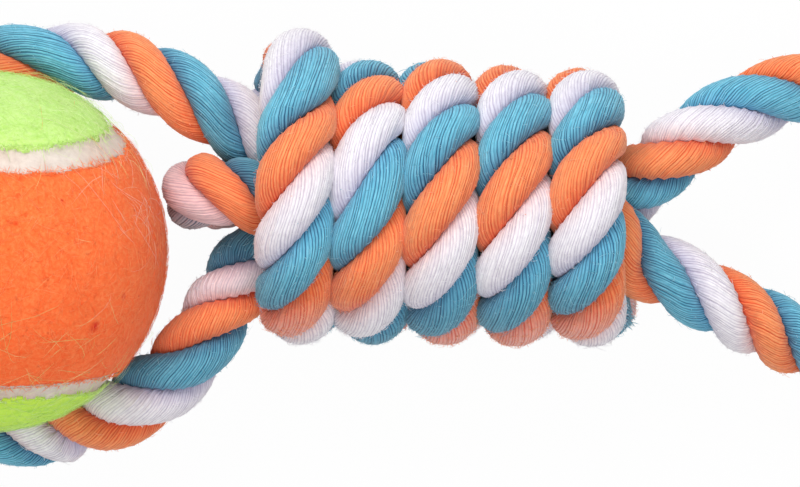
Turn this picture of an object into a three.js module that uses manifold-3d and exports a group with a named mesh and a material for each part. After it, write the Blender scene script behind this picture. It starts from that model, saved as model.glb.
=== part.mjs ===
// A rope dog toy: one laid rope makes a loop that hugs a ball, a handle loop, and a winding that
// grips both. Millimetres, +Z up, +X from the ball to the handle, lying on the floor at z = 0.

import * as THREE from "three";
import { mergeVertices } from "three/addons/utils/BufferGeometryUtils.js";
import Module from "manifold-3d";

const wasm = await Module();
wasm.setup();

// Rope: free, drawn tight in the winding, and squeezed inside it.
const ROPE_DIAMETER = 13;
const WOUND_DIAMETER = 12;
const CORE_DIAMETER = 11;
const FREE_STEP = 10;
const CORE_STEP = 8;
const ROPE_SIDES = 10;
const WOUND_SIDES = 8;

// Clearances: between end faces, and between ropes or felt that lie against each other.
const CLEARANCE = 0.3;
const SEAT_GAP = 0.5;
const FLOOR_GAP = 0.3;

// Winding: turns over the three ropes of the core, along +X, right-handed.
const TURNS = 4.8;
const TURN_GAP = 0.8;
const STEPS_PER_TURN = 24;
const SQUARE_FRONT = 1.2;
const FIRST_TURN_RISE = 5.4;
const FIRST_TURN_RISE_AT = 0.25;
const FIRST_TURN_RISE_SPAN = 0.8;
const FIRST_TURN_STEP = 2;
const TURN_BACK_STEPS = 22;

// Ball: two rubber cups, two felt panels and the seam between them.
const BALL_DIAMETER = 63.5;
const BALL_Y = -8.9;
const BALL_GAP = 1.5;
const FELT_THICKNESS = 2.75;
const FELT_EDGE_ROLL = 0.8;
const GLUE_GAP = 0.6;
const SHELL_WALL = 3.3;
const SEAM_WIDTH = 4.2;
const SEAM_RECESS = 0.7;
const SEAM_SWING = 0.18;
const SEAM_TILT = THREE.MathUtils.degToRad(11.4);
const WAIST_TURN = THREE.MathUtils.degToRad(27);
const SEAM_ROLL = THREE.MathUtils.degToRad(5.4);
const PANEL_ROWS = 28;
const PANEL_COLUMNS = 10;
const PANEL_EDGE = 0.05;
const CUP_SIDES = 28;
const CUP_ROWS = 9;

// Loops: where the rope leaves the winding, the pivot that the handle bends about, and its far end.
const LEFT_EXIT_X = -31.6;
const LEG_DROP = 2.8;
const TOP_RUN_END_X = -16.6;
const PIVOT_X = 47.8;
const PIVOT_Z = 22;
const HANDLE_END_X = 168;

// Sizes that follow from the ones above.
const ROPE_RADIUS = ROPE_DIAMETER / 2;
const WOUND_RADIUS = WOUND_DIAMETER / 2;
const BALL_RADIUS = BALL_DIAMETER / 2;
const CORE_SPACING = CORE_DIAMETER + SEAT_GAP;
const CORE_RING = CORE_SPACING / Math.sqrt(3);
const WINDING_RADIUS = CORE_RING + CORE_DIAMETER / 2 + SEAT_GAP + WOUND_RADIUS;
const PITCH = WOUND_DIAMETER + TURN_GAP;
const FLAT_DEPTH = WOUND_DIAMETER / 10;
const AXIS_Z = WINDING_RADIUS + WOUND_RADIUS - FLAT_DEPTH;
const WINDING_START = -2 * PITCH;
const LEG_Z = AXIS_Z - LEG_DROP;
const FELT_INSIDE = BALL_RADIUS - FELT_THICKNESS;
const FLOOR_ROPE_Z = ROPE_RADIUS + FLOOR_GAP;
const HANDLE_FLAT = ROPE_DIAMETER / 10;
const HANDLE_FLOOR_Z = ROPE_RADIUS - HANDLE_FLAT;

const v3 = (x, y, z) => new THREE.Vector3(x, y, z);

// The core: one rope on top and two side by side under it.
const TOP_RUN = { y: 0, z: AXIS_Z + CORE_RING };
const LOW_RUN = { y: -CORE_SPACING / 2, z: AXIS_Z - CORE_RING / 2 };
const BURIED_RUN = { y: CORE_SPACING / 2, z: AXIS_Z - CORE_RING / 2 };

// The ball stands on the floor against the nose of the rope's turn back.
const NOSE = v3(-36.8, 0.6, TOP_RUN.z - 9.4);
const BALL_CENTRE = ballCentre();

function ballCentre() {
  const apart = BALL_RADIUS + WOUND_RADIUS + BALL_GAP;
  const beside = Math.hypot(NOSE.y - BALL_Y, NOSE.z - BALL_RADIUS);
  return v3(NOSE.x - Math.sqrt(apart * apart - beside * beside), BALL_Y, BALL_RADIUS);
}

// A point beside the ball, where a rope at that height just clears the felt.
function besideBall(degrees, z) {
  const reach = BALL_RADIUS + ROPE_RADIUS + SEAT_GAP;
  const drop = BALL_CENTRE.z - z;
  const out = Math.sqrt(reach * reach - drop * drop);
  const angle = THREE.MathUtils.degToRad(degrees);
  return v3(BALL_CENTRE.x + out * Math.cos(angle), BALL_CENTRE.y + out * Math.sin(angle), z);
}

// Where the loops leave the winding and come back to it. The handle bends about its two points.
const LOOP_LEAVES = v3(LEFT_EXIT_X, 14.8, LEG_Z);
const LOOP_RETURNS = v3(LEFT_EXIT_X, -17.6, LEG_Z);
const HANDLE_LEAVES = v3(PIVOT_X, 8.8, PIVOT_Z);
const HANDLE_RETURNS = v3(PIVOT_X, -13.4, PIVOT_Z);

// The rope's route from its buried end: round the ball, through the bottom of the core, round the
// handle and back along the top of the core, where the two runs cross as they leave the winding.
const ROPE_ROUTE = [
  v3(29.4, BURIED_RUN.y, BURIED_RUN.z),
  v3(5.4, BURIED_RUN.y, BURIED_RUN.z),
  v3(-11.6, BURIED_RUN.y, BURIED_RUN.z),
  v3(-16.6, BURIED_RUN.y, BURIED_RUN.z),
  v3(-23.4, 9.4, LEG_Z),
  LOOP_LEAVES,
  v3(-38.4, 18.8, 20.4),
  v3(-46.5, 22.5, 19.6),
  v3(-54.1, 24.6, 18),
  besideBall(79, 14.6),
  besideBall(97, 10.6),
  besideBall(118, 8),
  besideBall(142, FLOOR_ROPE_Z),
  besideBall(168, FLOOR_ROPE_Z),
  besideBall(194, FLOOR_ROPE_Z),
  besideBall(220, FLOOR_ROPE_Z),
  besideBall(246, FLOOR_ROPE_Z),
  besideBall(268, 7.2),
  besideBall(286, 9.4),
  besideBall(301, 13.2),
  v3(-46.8, -36, 17.6),
  v3(-39.4, -29.2, 20.2),
  v3(-35, -23, 20.6),
  LOOP_RETURNS,
  v3(-25.4, -8.6, LEG_Z),
  v3(-18.6, LOW_RUN.y, LOW_RUN.z),
  v3(-11.6, LOW_RUN.y, LOW_RUN.z),
  v3(5.4, LOW_RUN.y, LOW_RUN.z),
  v3(25.4, LOW_RUN.y, LOW_RUN.z),
  v3(29.4, LOW_RUN.y, LOW_RUN.z),
  v3(35, -2, LOW_RUN.z - 4.4),
  v3(40.4, 2.6, LOW_RUN.z - 2),
  HANDLE_LEAVES,
  v3(57.4, 15.2, 19.6),
  v3(69.9, 20, 13.6),
  v3(87.4, 24, 7.4),
  v3(HANDLE_END_X - 60.6, 26.8, HANDLE_FLOOR_Z),
  v3(HANDLE_END_X - 40.6, 26.8, HANDLE_FLOOR_Z),
  v3(HANDLE_END_X - 21.6, 22.6, HANDLE_FLOOR_Z),
  v3(HANDLE_END_X - 6.6, 13.6, HANDLE_FLOOR_Z),
  v3(HANDLE_END_X, 1, HANDLE_FLOOR_Z),
  v3(HANDLE_END_X - 2.6, -12, HANDLE_FLOOR_Z),
  v3(HANDLE_END_X - 13.6, -24.4, HANDLE_FLOOR_Z),
  v3(HANDLE_END_X - 31.6, -32.4, HANDLE_FLOOR_Z),
  v3(HANDLE_END_X - 50.6, -35.2, HANDLE_FLOOR_Z),
  v3(99.4, -33.8, 5.8),
  v3(82.4, -29.6, 9),
  v3(67.9, -23.9, 14.2),
  v3(56.4, -18.2, 19.4),
  HANDLE_RETURNS,
  v3(40.6, -10, TOP_RUN.z - 6),
  v3(35, -4, TOP_RUN.z - 1.4),
  v3(29.4, TOP_RUN.y, TOP_RUN.z),
  v3(25.4, TOP_RUN.y, TOP_RUN.z),
  v3(5.4, TOP_RUN.y, TOP_RUN.z),
  v3(TOP_RUN_END_X, TOP_RUN.y, TOP_RUN.z),
];

// Where the top rope turns back, down to the floor and up into the first turn.
const TURN_BACK_ROUTE = [
  v3(TOP_RUN_END_X - CLEARANCE, TOP_RUN.y, TOP_RUN.z),
  v3(-23.6, TOP_RUN.y, TOP_RUN.z),
  v3(-30.1, 0.9, TOP_RUN.z - 0.2),
  v3(-35, 1.2, TOP_RUN.z - 3.4),
  NOSE,
  v3(-36.2, -1.6, TOP_RUN.z - 16),
  v3(-33.2, -3.4, TOP_RUN.z - 22),
  v3(-28.8, -0.4, AXIS_Z - WINDING_RADIUS + 0.2),
];

// A smooth route through points, that can be cut into stretches by length at its own points.
class Route {
  constructor(points) {
    const perSpan = 60;
    this.points = points;
    const divisions = (points.length - 1) * perSpan;
    this.curve = new THREE.CatmullRomCurve3(points, false, "centripetal");
    this.curve.arcLengthDivisions = divisions;
    this.lengths = this.curve.getLengths(divisions);
    this.perSpan = perSpan;
    this.total = this.lengths[divisions];
  }

  lengthTo(point) {
    return this.lengths[this.points.indexOf(point) * this.perSpan];
  }

  // The stretch between two lengths, as a curve of its own.
  stretch(from, to) {
    const piece = new THREE.Curve();
    piece.getPoint = (t) => this.curve.getPointAt((from + t * (to - from)) / this.total);
    return piece;
  }
}

function roundSection(diameter, sides) {
  const section = new THREE.Shape();
  section.absarc(0, 0, diameter / 2, 0, 2 * Math.PI, false);
  return new THREE.Shape(section.getSpacedPoints(sides).slice(0, sides));
}

function ropeTube(path, diameter, steps, sides = ROPE_SIDES) {
  const section = roundSection(diameter, sides);
  return new THREE.ExtrudeGeometry(section, { steps, extrudePath: path, bevelEnabled: false });
}

function positionsOnly(geometry) {
  const bare = geometry.clone();
  bare.deleteAttribute("normal");
  bare.deleteAttribute("uv");
  return mergeVertices(bare, 1e-4);
}

function solidOf(geometry) {
  const bare = positionsOnly(geometry);
  const vertProperties = new Float32Array(bare.attributes.position.array);
  const triVerts = new Uint32Array(bare.index.array);
  return new wasm.Manifold(new wasm.Mesh({ numProp: 3, vertProperties, triVerts }));
}

function geometryOf(solid) {
  const mesh = solid.getMesh();
  const geometry = new THREE.BufferGeometry();
  geometry.setAttribute("position", new THREE.BufferAttribute(mesh.vertProperties, 3));
  geometry.setIndex(new THREE.BufferAttribute(mesh.triVerts, 1));
  geometry.computeVertexNormals();
  return geometry;
}

// What lies under the floor is pressed flat.
function flattenedUnderneath(solid) {
  const size = 1000;
  const floor = new THREE.BoxGeometry(size, size, size);
  floor.translate(0, 0, -size / 2);
  return solid.subtract(solidOf(floor));
}

function domeAt(point) {
  const dome = new THREE.SphereGeometry(ROPE_RADIUS, 2 * ROPE_SIDES, ROPE_SIDES);
  dome.translate(point.x, point.y, point.z);
  return solidOf(dome);
}

// Winding: its centreline after a number of turns. The first turn rides up over the leaving rope,
// and a turn gains more of its pitch underneath than over the top.
function windingPoint(turns) {
  const off = (turns - FIRST_TURN_RISE_AT) / FIRST_TURN_RISE_SPAN;
  const rise = Math.abs(off) < 0.5 ? FIRST_TURN_RISE * Math.cos(Math.PI * off) ** 2 : 0;
  const radius = WINDING_RADIUS + rise;
  const angle = 2 * Math.PI * (turns - 0.25);
  const back = (SQUARE_FRONT * Math.sin(2 * Math.PI * turns)) / (2 * Math.PI);
  return v3(
    WINDING_START + PITCH * (turns + back),
    radius * Math.cos(angle),
    AXIS_Z + radius * Math.sin(angle),
  );
}

// The rope from the top of the core through its turn back and all the turns to its cut end.
function windingPoints() {
  const points = [...TURN_BACK_ROUTE];
  const last = Math.round(TURNS * STEPS_PER_TURN);
  for (let step = FIRST_TURN_STEP; step <= last; step += 1) {
    points.push(windingPoint(step / STEPS_PER_TURN));
  }
  const end = points[points.length - 1];
  const before = points[points.length - 2];
  const along = end.clone().sub(before).normalize();
  points.push(end.clone().addScaledVector(along, WOUND_DIAMETER));
  return points;
}

// The least gap of a tube to itself, between points of its centreline that lie well apart along it.
function leastGap(curve, diameter, apart) {
  const samples = 900;
  const points = curve.getSpacedPoints(samples);
  const step = curve.getLength() / samples;
  let least = Infinity;
  for (let i = 0; i < points.length; i += 1) {
    for (let j = i + Math.ceil(apart / step); j < points.length; j += 1) {
      least = Math.min(least, points[i].distanceTo(points[j]));
    }
  }
  return least - diameter;
}

function makeWinding() {
  const curve = new THREE.CatmullRomCurve3(windingPoints(), false, "centripetal");
  curve.arcLengthDivisions = 2400;
  const quarterTurn = (Math.PI * WINDING_RADIUS) / 2;
  const gap = leastGap(curve, WOUND_DIAMETER, quarterTurn);
  console.log(`winding: least gap to itself ${gap.toFixed(2)} mm`);
  const steps = Math.round(TURNS * STEPS_PER_TURN) + TURN_BACK_STEPS;
  const tube = solidOf(ropeTube(curve, WOUND_DIAMETER, steps, WOUND_SIDES));
  return geometryOf(flattenedUnderneath(tube));
}

// The ball's seam, as a unit vector, and the direction across it towards the orange panel.
function seamAt(t, across) {
  const a = 1 - SEAM_SWING;
  const b = SEAM_SWING;
  const c = 2 * Math.sqrt(a * b);
  const at = (s) =>
    v3(
      a * Math.cos(s) + b * Math.cos(3 * s),
      a * Math.sin(s) - b * Math.sin(3 * s),
      c * Math.sin(2 * s),
    );
  const nudge = 1e-4;
  const here = at(t).normalize();
  const along = at(t + nudge).sub(at(t - nudge)).normalize();
  const inward = here.clone().cross(along).normalize();
  const turn = across / BALL_RADIUS;
  return here.multiplyScalar(Math.cos(turn)).addScaledVector(inward, Math.sin(turn)).normalize();
}

function arcBetween(from, to, share) {
  const angle = from.angleTo(to);
  if (angle < 1e-6) return from.clone();
  const a = Math.sin((1 - share) * angle) / Math.sin(angle);
  const b = Math.sin(share * angle) / Math.sin(angle);
  return from.clone().multiplyScalar(a).addScaledVector(to, b).normalize();
}

// Triangles between rows of points, each row and the list of rows closed where asked.
function skin(rows, closedRows) {
  const points = rows.flat();
  const columns = rows[0].length;
  const index = [];
  const rowCount = closedRows ? rows.length : rows.length - 1;
  for (let i = 0; i < rowCount; i += 1) {
    for (let j = 0; j < columns; j += 1) {
      const next = (i + 1) % rows.length;
      const a = i * columns + j;
      const b = i * columns + ((j + 1) % columns);
      const c = next * columns + j;
      const d = next * columns + ((j + 1) % columns);
      index.push(a, d, b, a, c, d);
    }
  }
  return closedGeometry(points, index);
}

// Merges points that meet and drops the triangles that this leaves without an area.
function closedGeometry(points, index) {
  const geometry = new THREE.BufferGeometry().setFromPoints(points);
  geometry.setIndex(index);
  const merged = mergeVertices(geometry, 1e-4);
  const kept = [];
  const all = merged.index.array;
  for (let i = 0; i < all.length; i += 3) {
    const [a, b, c] = [all[i], all[i + 1], all[i + 2]];
    if (a !== b && b !== c && c !== a) kept.push(a, b, c);
  }
  merged.setIndex(kept);
  merged.computeVertexNormals();
  return merged;
}

// Shares of a rib's length, from edge to edge, with a narrow step for the rolled edge at both ends.
function panelShares() {
  const inner = Array.from({ length: PANEL_COLUMNS - 1 }, (_, column) => {
    return PANEL_EDGE + ((1 - 2 * PANEL_EDGE) * column) / (PANEL_COLUMNS - 2);
  });
  return [0, ...inner, 1];
}

// A felt panel, dog-bone shaped: ribs across it from seam to seam, over the felt and back under it.
function makeFeltPanel() {
  const shares = panelShares();
  const rows = [];
  for (let row = 0; row <= PANEL_ROWS; row += 1) {
    const swing = Math.PI * (row / PANEL_ROWS - 0.5);
    const tip = row === 0 || row === PANEL_ROWS;
    const from = seamAt(Math.PI / 4 + swing, SEAM_WIDTH / 2);
    const to = seamAt((5 * Math.PI) / 4 - swing, SEAM_WIDTH / 2);
    const over = shares.map((share) => {
      const edge = tip || share === 0 || share === 1;
      const radius = BALL_RADIUS - (edge ? FELT_EDGE_ROLL : 0);
      return arcBetween(from, to, share).multiplyScalar(radius);
    });
    const under = shares.map((share) => arcBetween(from, to, share).multiplyScalar(FELT_INSIDE));
    rows.push([...over, ...under.reverse()]);
  }
  return skin(rows, false);
}

// The seam: a band of rubber cement that fills the gap between the panels.
function makeSeam() {
  const half = SEAM_WIDTH / 2 - CLEARANCE;
  const outside = BALL_RADIUS - SEAM_RECESS;
  const rows = [];
  for (let step = 0; step < 2 * PANEL_ROWS; step += 1) {
    const t = (Math.PI * step) / PANEL_ROWS;
    const left = seamAt(t, half);
    const right = seamAt(t, -half);
    rows.push([
      right.clone().multiplyScalar(FELT_INSIDE),
      right.clone().multiplyScalar(outside),
      left.clone().multiplyScalar(outside),
      left.clone().multiplyScalar(FELT_INSIDE),
    ]);
  }
  return skin(rows, true);
}

// Half of the ball's hollow rubber core, a cup that opens downward with its rim at the seam plane.
function makeShellHalf() {
  const outside = FELT_INSIDE - GLUE_GAP;
  const inside = outside - SHELL_WALL;
  const rim = CLEARANCE / 2;
  const arc = (radius) => {
    const low = Math.asin(rim / radius);
    return Array.from({ length: CUP_ROWS + 1 }, (_, row) => {
      const angle = low + (Math.PI / 2 - low) * (row / CUP_ROWS);
      const x = row === CUP_ROWS ? 0 : radius * Math.cos(angle);
      return new THREE.Vector2(x, radius * Math.sin(angle));
    });
  };
  const profile = [...arc(inside).reverse(), ...arc(outside)];
  const cup = new THREE.LatheGeometry(profile, CUP_SIDES);
  cup.rotateX(Math.PI / 2);
  return cup;
}

const COLOURS = {
  rope: 0x5fa3bb,
  feltOrange: 0xff6e35,
  feltLime: 0xb4e84e,
  seam: 0xe6ddd8,
  rubber: 0x3a3a3c,
};

function part(name, geometry, colour, roughness = 0.95) {
  const material = new THREE.MeshStandardMaterial({ color: colour, roughness, metalness: 0 });
  const mesh = new THREE.Mesh(geometry, material);
  mesh.name = name;
  return mesh;
}

// The one rope, in stretches that meet end to end. The handle's ends are round, to turn in place.
function makeRope() {
  const rope = new THREE.Group();
  const half = CLEARANCE / 2;
  const reach = ROPE_RADIUS + CLEARANCE;
  const route = new Route(ROPE_ROUTE);
  const loopFrom = route.lengthTo(LOOP_LEAVES);
  const loopTo = route.lengthTo(LOOP_RETURNS);
  const handleFrom = route.lengthTo(HANDLE_LEAVES);
  const handleTo = route.lengthTo(HANDLE_RETURNS);
  const tube = (from, to, diameter, step) => {
    return ropeTube(route.stretch(from, to), diameter, Math.ceil((to - from) / step));
  };
  const buried = tube(0, loopFrom - half, CORE_DIAMETER, CORE_STEP);
  const loop = tube(loopFrom + half, loopTo - half, ROPE_DIAMETER, FREE_STEP);
  const lowRun = tube(loopTo + half, handleFrom - reach, CORE_DIAMETER, CORE_STEP);
  const topRun = tube(handleTo + reach, route.total, CORE_DIAMETER, CORE_STEP);
  const handle = solidOf(tube(handleFrom, handleTo, ROPE_DIAMETER, FREE_STEP))
    .add(domeAt(HANDLE_LEAVES))
    .add(domeAt(HANDLE_RETURNS));

  rope.add(part("buried_end", buried, COLOURS.rope));
  rope.add(part("ball_loop", loop, COLOURS.rope));
  rope.add(part("lower_core_run", lowRun, COLOURS.rope));
  rope.add(part("handle_loop", geometryOf(flattenedUnderneath(handle)), COLOURS.rope));
  rope.add(part("upper_core_run", topRun, COLOURS.rope));
  rope.add(part("winding", makeWinding(), COLOURS.rope));
  return rope;
}

// The ball, turned so that the orange panel's waist faces up and towards the winding.
function makeBall() {
  const ball = new THREE.Group();
  const cover = new THREE.Group();
  ball.position.copy(BALL_CENTRE);
  ball.rotation.set(SEAM_TILT, WAIST_TURN, SEAM_ROLL, "ZYX");
  cover.rotation.z = Math.PI / 4;
  ball.add(cover);

  const lime = part("felt_panel_lime", makeFeltPanel(), COLOURS.feltLime, 1);
  lime.rotation.x = Math.PI;
  const lowerCup = part("rubber_cup_lower", makeShellHalf(), COLOURS.rubber, 0.8);
  lowerCup.rotation.x = Math.PI;

  cover.add(part("felt_panel_orange", makeFeltPanel(), COLOURS.feltOrange, 1));
  cover.add(lime);
  cover.add(part("seam_band", makeSeam(), COLOURS.seam, 0.9));
  cover.add(part("rubber_cup_upper", makeShellHalf(), COLOURS.rubber, 0.8));
  cover.add(lowerCup);
  return ball;
}

const toy = new THREE.Group();
toy.add(makeRope());
toy.add(makeBall());

export default toy;
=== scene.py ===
# %% [markdown]
# A rope dog toy, dressed for its portrait. The construction model already has every piece at its
# real size: one long rope that makes a loop round a felt ball, a handle loop, and a tight winding
# that grips both. Here each plain tube becomes a laid rope of three dyed strands, and each smooth
# panel becomes felt. Everything is made in the frame of the construction model, so a piece needs no
# fitting: it is modelled where the model says that it is. The toy's sizes are in millimetres, and
# they become metres, Blender's own unit, when a mesh is made.

# %% Load the construction model
import math

import bpy
import numpy as np
from mathutils import Matrix, Vector


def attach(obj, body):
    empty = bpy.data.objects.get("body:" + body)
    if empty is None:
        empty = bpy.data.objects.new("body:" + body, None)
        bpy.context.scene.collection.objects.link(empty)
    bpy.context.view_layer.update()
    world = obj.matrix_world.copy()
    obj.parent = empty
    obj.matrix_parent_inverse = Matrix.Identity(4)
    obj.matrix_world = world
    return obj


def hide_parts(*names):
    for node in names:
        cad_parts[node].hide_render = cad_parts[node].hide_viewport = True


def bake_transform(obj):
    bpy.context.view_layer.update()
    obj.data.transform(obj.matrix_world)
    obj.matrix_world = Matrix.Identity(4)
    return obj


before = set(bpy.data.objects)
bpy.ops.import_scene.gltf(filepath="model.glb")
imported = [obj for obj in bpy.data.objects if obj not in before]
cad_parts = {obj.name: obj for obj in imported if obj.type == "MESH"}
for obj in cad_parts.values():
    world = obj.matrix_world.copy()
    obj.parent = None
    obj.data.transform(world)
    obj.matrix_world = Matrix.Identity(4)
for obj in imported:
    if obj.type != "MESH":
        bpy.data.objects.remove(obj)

bpy.ops.object.select_all(action="DESELECT")
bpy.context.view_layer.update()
print("nodes:", sorted(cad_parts))

# %% [markdown]
# The toy is seen from straight above, lying on a white table. A camera that has not been turned
# already looks down with +Y at the top of the picture, so it only needs a place. A long lens from
# far away keeps the ball, which is tall, and the handle, which lies low, at nearly the same scale. A
# camera without any perspective could stand nearer, but no real one sees like that.

# %% Camera
MM = 0.001
SEEN_WIDTH = 140.4 * MM
SEEN_CENTRE = (-0.74 * MM, -7.46 * MM)
SCALE_HEIGHT = 34 * MM
CAMERA_HEIGHT = 2.0
CAMERA_REACH = 20
SENSOR = 36.0

bpy.ops.object.camera_add(location=(*SEEN_CENTRE, CAMERA_HEIGHT), rotation=(0, 0, 0))
camera = bpy.context.object
camera.name = "camera_above"
camera.data.sensor_width = SENSOR
camera.data.lens = SENSOR * (CAMERA_HEIGHT - SCALE_HEIGHT) / SEEN_WIDTH
camera.data.clip_end = CAMERA_REACH
bpy.context.scene.camera = camera
bpy.context.scene.view_settings.view_transform = "Standard"
print("lens in mm:", round(camera.data.lens))

# %% [markdown]
# All of the toy but its ball is one rope, so its sizes come first, as the construction model has
# them. Three runs of squeezed rope make the core of the winding, one above two, and the wound rope
# goes round them. The rope is pressed flat where it lies on the table, by a tenth of its
# thickness, and that settles how high the winding's axis is.

# %% Sizes of the rope, the core and the winding
ROPE_RADIUS = 6.5
WOUND_RADIUS = 6.0
CORE_RADIUS = 5.5
SEAT_GAP = 0.5
TURN_GAP = 0.8
TABLE_GAP = 0.3
CORE_SPACING = 2 * CORE_RADIUS + SEAT_GAP
CORE_RING = CORE_SPACING / math.sqrt(3)
WINDING_RADIUS = CORE_RING + CORE_RADIUS + SEAT_GAP + WOUND_RADIUS
PITCH = 2 * WOUND_RADIUS + TURN_GAP
AXIS_Z = WINDING_RADIUS + WOUND_RADIUS - 2 * WOUND_RADIUS / 10
WINDING_START = -2 * PITCH
TURNS = 4.8
LEG_Z = AXIS_Z - 2.8
PIVOT_X = 47.8
PIVOT_Z = 22
HANDLE_END_X = 168
FLOOR_ROPE_Z = ROPE_RADIUS + TABLE_GAP
HANDLE_Z = ROPE_RADIUS - 2 * ROPE_RADIUS / 10
TOP_RUN = (0, AXIS_Z + CORE_RING)
LOW_RUN = (-CORE_SPACING / 2, AXIS_Z - CORE_RING / 2)
BURIED_RUN = (CORE_SPACING / 2, AXIS_Z - CORE_RING / 2)
NOSE = (-36.8, 0.6, TOP_RUN[1] - 9.4)
print("winding axis at z", round(AXIS_Z, 2), "radius", round(WINDING_RADIUS, 2))

# %% [markdown]
# The ball lies on the table close to the nose of the winding, where the rope turns back. It could be
# pushed about by eye, but its height is its radius, and how far its middle is from the nose is known
# too, so the last coordinate follows from a right-angled triangle.

# %% Where the ball stands
BALL_RADIUS = 31.75
BALL_Y = -8.9
NOSE_GAP = 1.5
ball_apart = BALL_RADIUS + WOUND_RADIUS + NOSE_GAP
ball_beside = math.hypot(NOSE[1] - BALL_Y, NOSE[2] - BALL_RADIUS)
BALL_CENTRE = np.array([NOSE[0] - math.sqrt(ball_apart**2 - ball_beside**2), BALL_Y, BALL_RADIUS])
print("ball stands at", BALL_CENTRE.round(2))

# %% [markdown]
# The rope's middle line goes through listed points. They are the construction model's, with a
# few of them moved by a millimetre or more to suit the look of the real rope. The loop round the ball
# comes first. It could be a circle bent by hand, but the rope has to follow the felt closely. So beside
# the ball a point is given by an angle and a height, and a function finds where the rope just rests.

# %% Route of the ball loop
def beside_ball(degrees, z, slack=0.0):
    reach = BALL_RADIUS + ROPE_RADIUS + SEAT_GAP + slack
    out = math.sqrt(reach**2 - (BALL_CENTRE[2] - z) ** 2)
    angle = math.radians(degrees)
    x = BALL_CENTRE[0] + out * math.cos(angle)
    return (x, BALL_CENTRE[1] + out * math.sin(angle), z)


BALL_LOOP_ROUTE = [
    (-11.6, *BURIED_RUN),
    (-16.6, *BURIED_RUN),
    (-23.4, 9.4, LEG_Z),
    (-31.6, 14.8, LEG_Z),
    (-38.4, 18.8, 20.4),
    (-46.5, 22.5, 19.6),
    (-54.1, 24.6, 18),
    beside_ball(79, 14.6),
    beside_ball(97, 10.6),
    beside_ball(118, 8),
    beside_ball(142, FLOOR_ROPE_Z),
    beside_ball(168, FLOOR_ROPE_Z),
    beside_ball(194, FLOOR_ROPE_Z),
    beside_ball(220, FLOOR_ROPE_Z),
    beside_ball(246, FLOOR_ROPE_Z),
    beside_ball(268, 7.2, 0.5),
    beside_ball(286, 9.4, 0.9),
    beside_ball(301, 13.2, 0.4),
    (-48.2, -35.7, 17.6),
    (-39.4, -29.2, 20.2),
    (-35, -23, 20.6),
    (-31.6, -17.6, LEG_Z),
    (-25.4, -8.6, LEG_Z),
    (-18.6, *LOW_RUN),
    (-11.6, *LOW_RUN),
]
print("points of the ball loop:", len(BALL_LOOP_ROUTE))

# %% [markdown]
# On the other side of the winding the rope makes the handle, a long loop for a hand, which comes
# down to the table and lies on it. Two mirrored halves would be quicker to write, but the two legs of
# the real loop leave the winding in different ways, so each has its own points.

# %% Route of the handle
HANDLE_ROUTE = [
    (25.4, *LOW_RUN),
    (29.4, *LOW_RUN),
    (35, -2, LOW_RUN[1] - 4.4),
    (40.4, 2.6, LOW_RUN[1] - 2),
    (PIVOT_X, 8.8, PIVOT_Z),
    (57.4, 15.2, 19.6),
    (69.9, 20, 13.6),
    (87.4, 24, 7.4),
    (HANDLE_END_X - 60.6, 26.8, HANDLE_Z),
    (HANDLE_END_X - 40.6, 26.8, HANDLE_Z),
    (HANDLE_END_X - 21.6, 22.6, HANDLE_Z),
    (HANDLE_END_X - 6.6, 13.6, HANDLE_Z),
    (HANDLE_END_X, 1, HANDLE_Z),
    (HANDLE_END_X - 2.6, -12, HANDLE_Z),
    (HANDLE_END_X - 13.6, -24.4, HANDLE_Z),
    (HANDLE_END_X - 31.6, -32.4, HANDLE_Z),
    (HANDLE_END_X - 50.6, -35.2, HANDLE_Z),
    (99.4, -33.8, 5.8),
    (82.4, -29.6, 9),
    (67.9, -23.9, 14.2),
    (56.4, -18.2, 19.4),
    (PIVOT_X, -13.4, PIVOT_Z),
    (40.6, -10, TOP_RUN[1] - 6),
    (35, -4, TOP_RUN[1] - 1.4),
    (29.4, *TOP_RUN),
    (25.4, *TOP_RUN),
]
print("points of the handle:", len(HANDLE_ROUTE))

# %% [markdown]
# Past the handle the rope runs back through the core. At the ball's end it turns back over a short
# nose and dives under the winding, where the first turn begins. A half circle would be too even: the
# real rope is pinched there, so the nose has a few points of its own.

# %% Route of the turn-back
TURN_BACK_ROUTE = [
    (-16.9, *TOP_RUN),
    (-23.6, *TOP_RUN),
    (-30.1, 1.7, TOP_RUN[1] - 0.2),
    (-35, 2.1, TOP_RUN[1] - 3.4),
    (NOSE[0], NOSE[1] + 1.0, NOSE[2]),
    (-35.9, 0.8, TOP_RUN[1] - 16),
    (-32.7, 1.6, TOP_RUN[1] - 22),
    (-28.8, 1.8, AXIS_Z - WINDING_RADIUS + 0.2),
]
print("points of the turn-back:", len(TURN_BACK_ROUTE))

# %% [markdown]
# The winding is a helix round the core, and a Screw modifier could make an even one. On the real
# toy the turns are not even: the first rides up over the rope that it starts from and leans, all
# of them slant on the side that shows, and the last two are drawn tighter. A function of the turns
# made so far holds all of that, and the points come from a loop.

# %% The winding's turns
STEPS_PER_TURN = 24
SIDE_OF_TURN = 0.25
RISE = 5.4
RISE_SPAN = 0.8
DRAWN_FROM = 2.4
DRAWN_OVER = 1.2
DRAWN_IN = 0.6
DRAWN_DOWN = 1.1
SLANT = 1.2
FIRST_LEAN = 1.3
FIRST_LEAN_AT = 0.29
FIRST_LEAN_SPAN = 0.09


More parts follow.
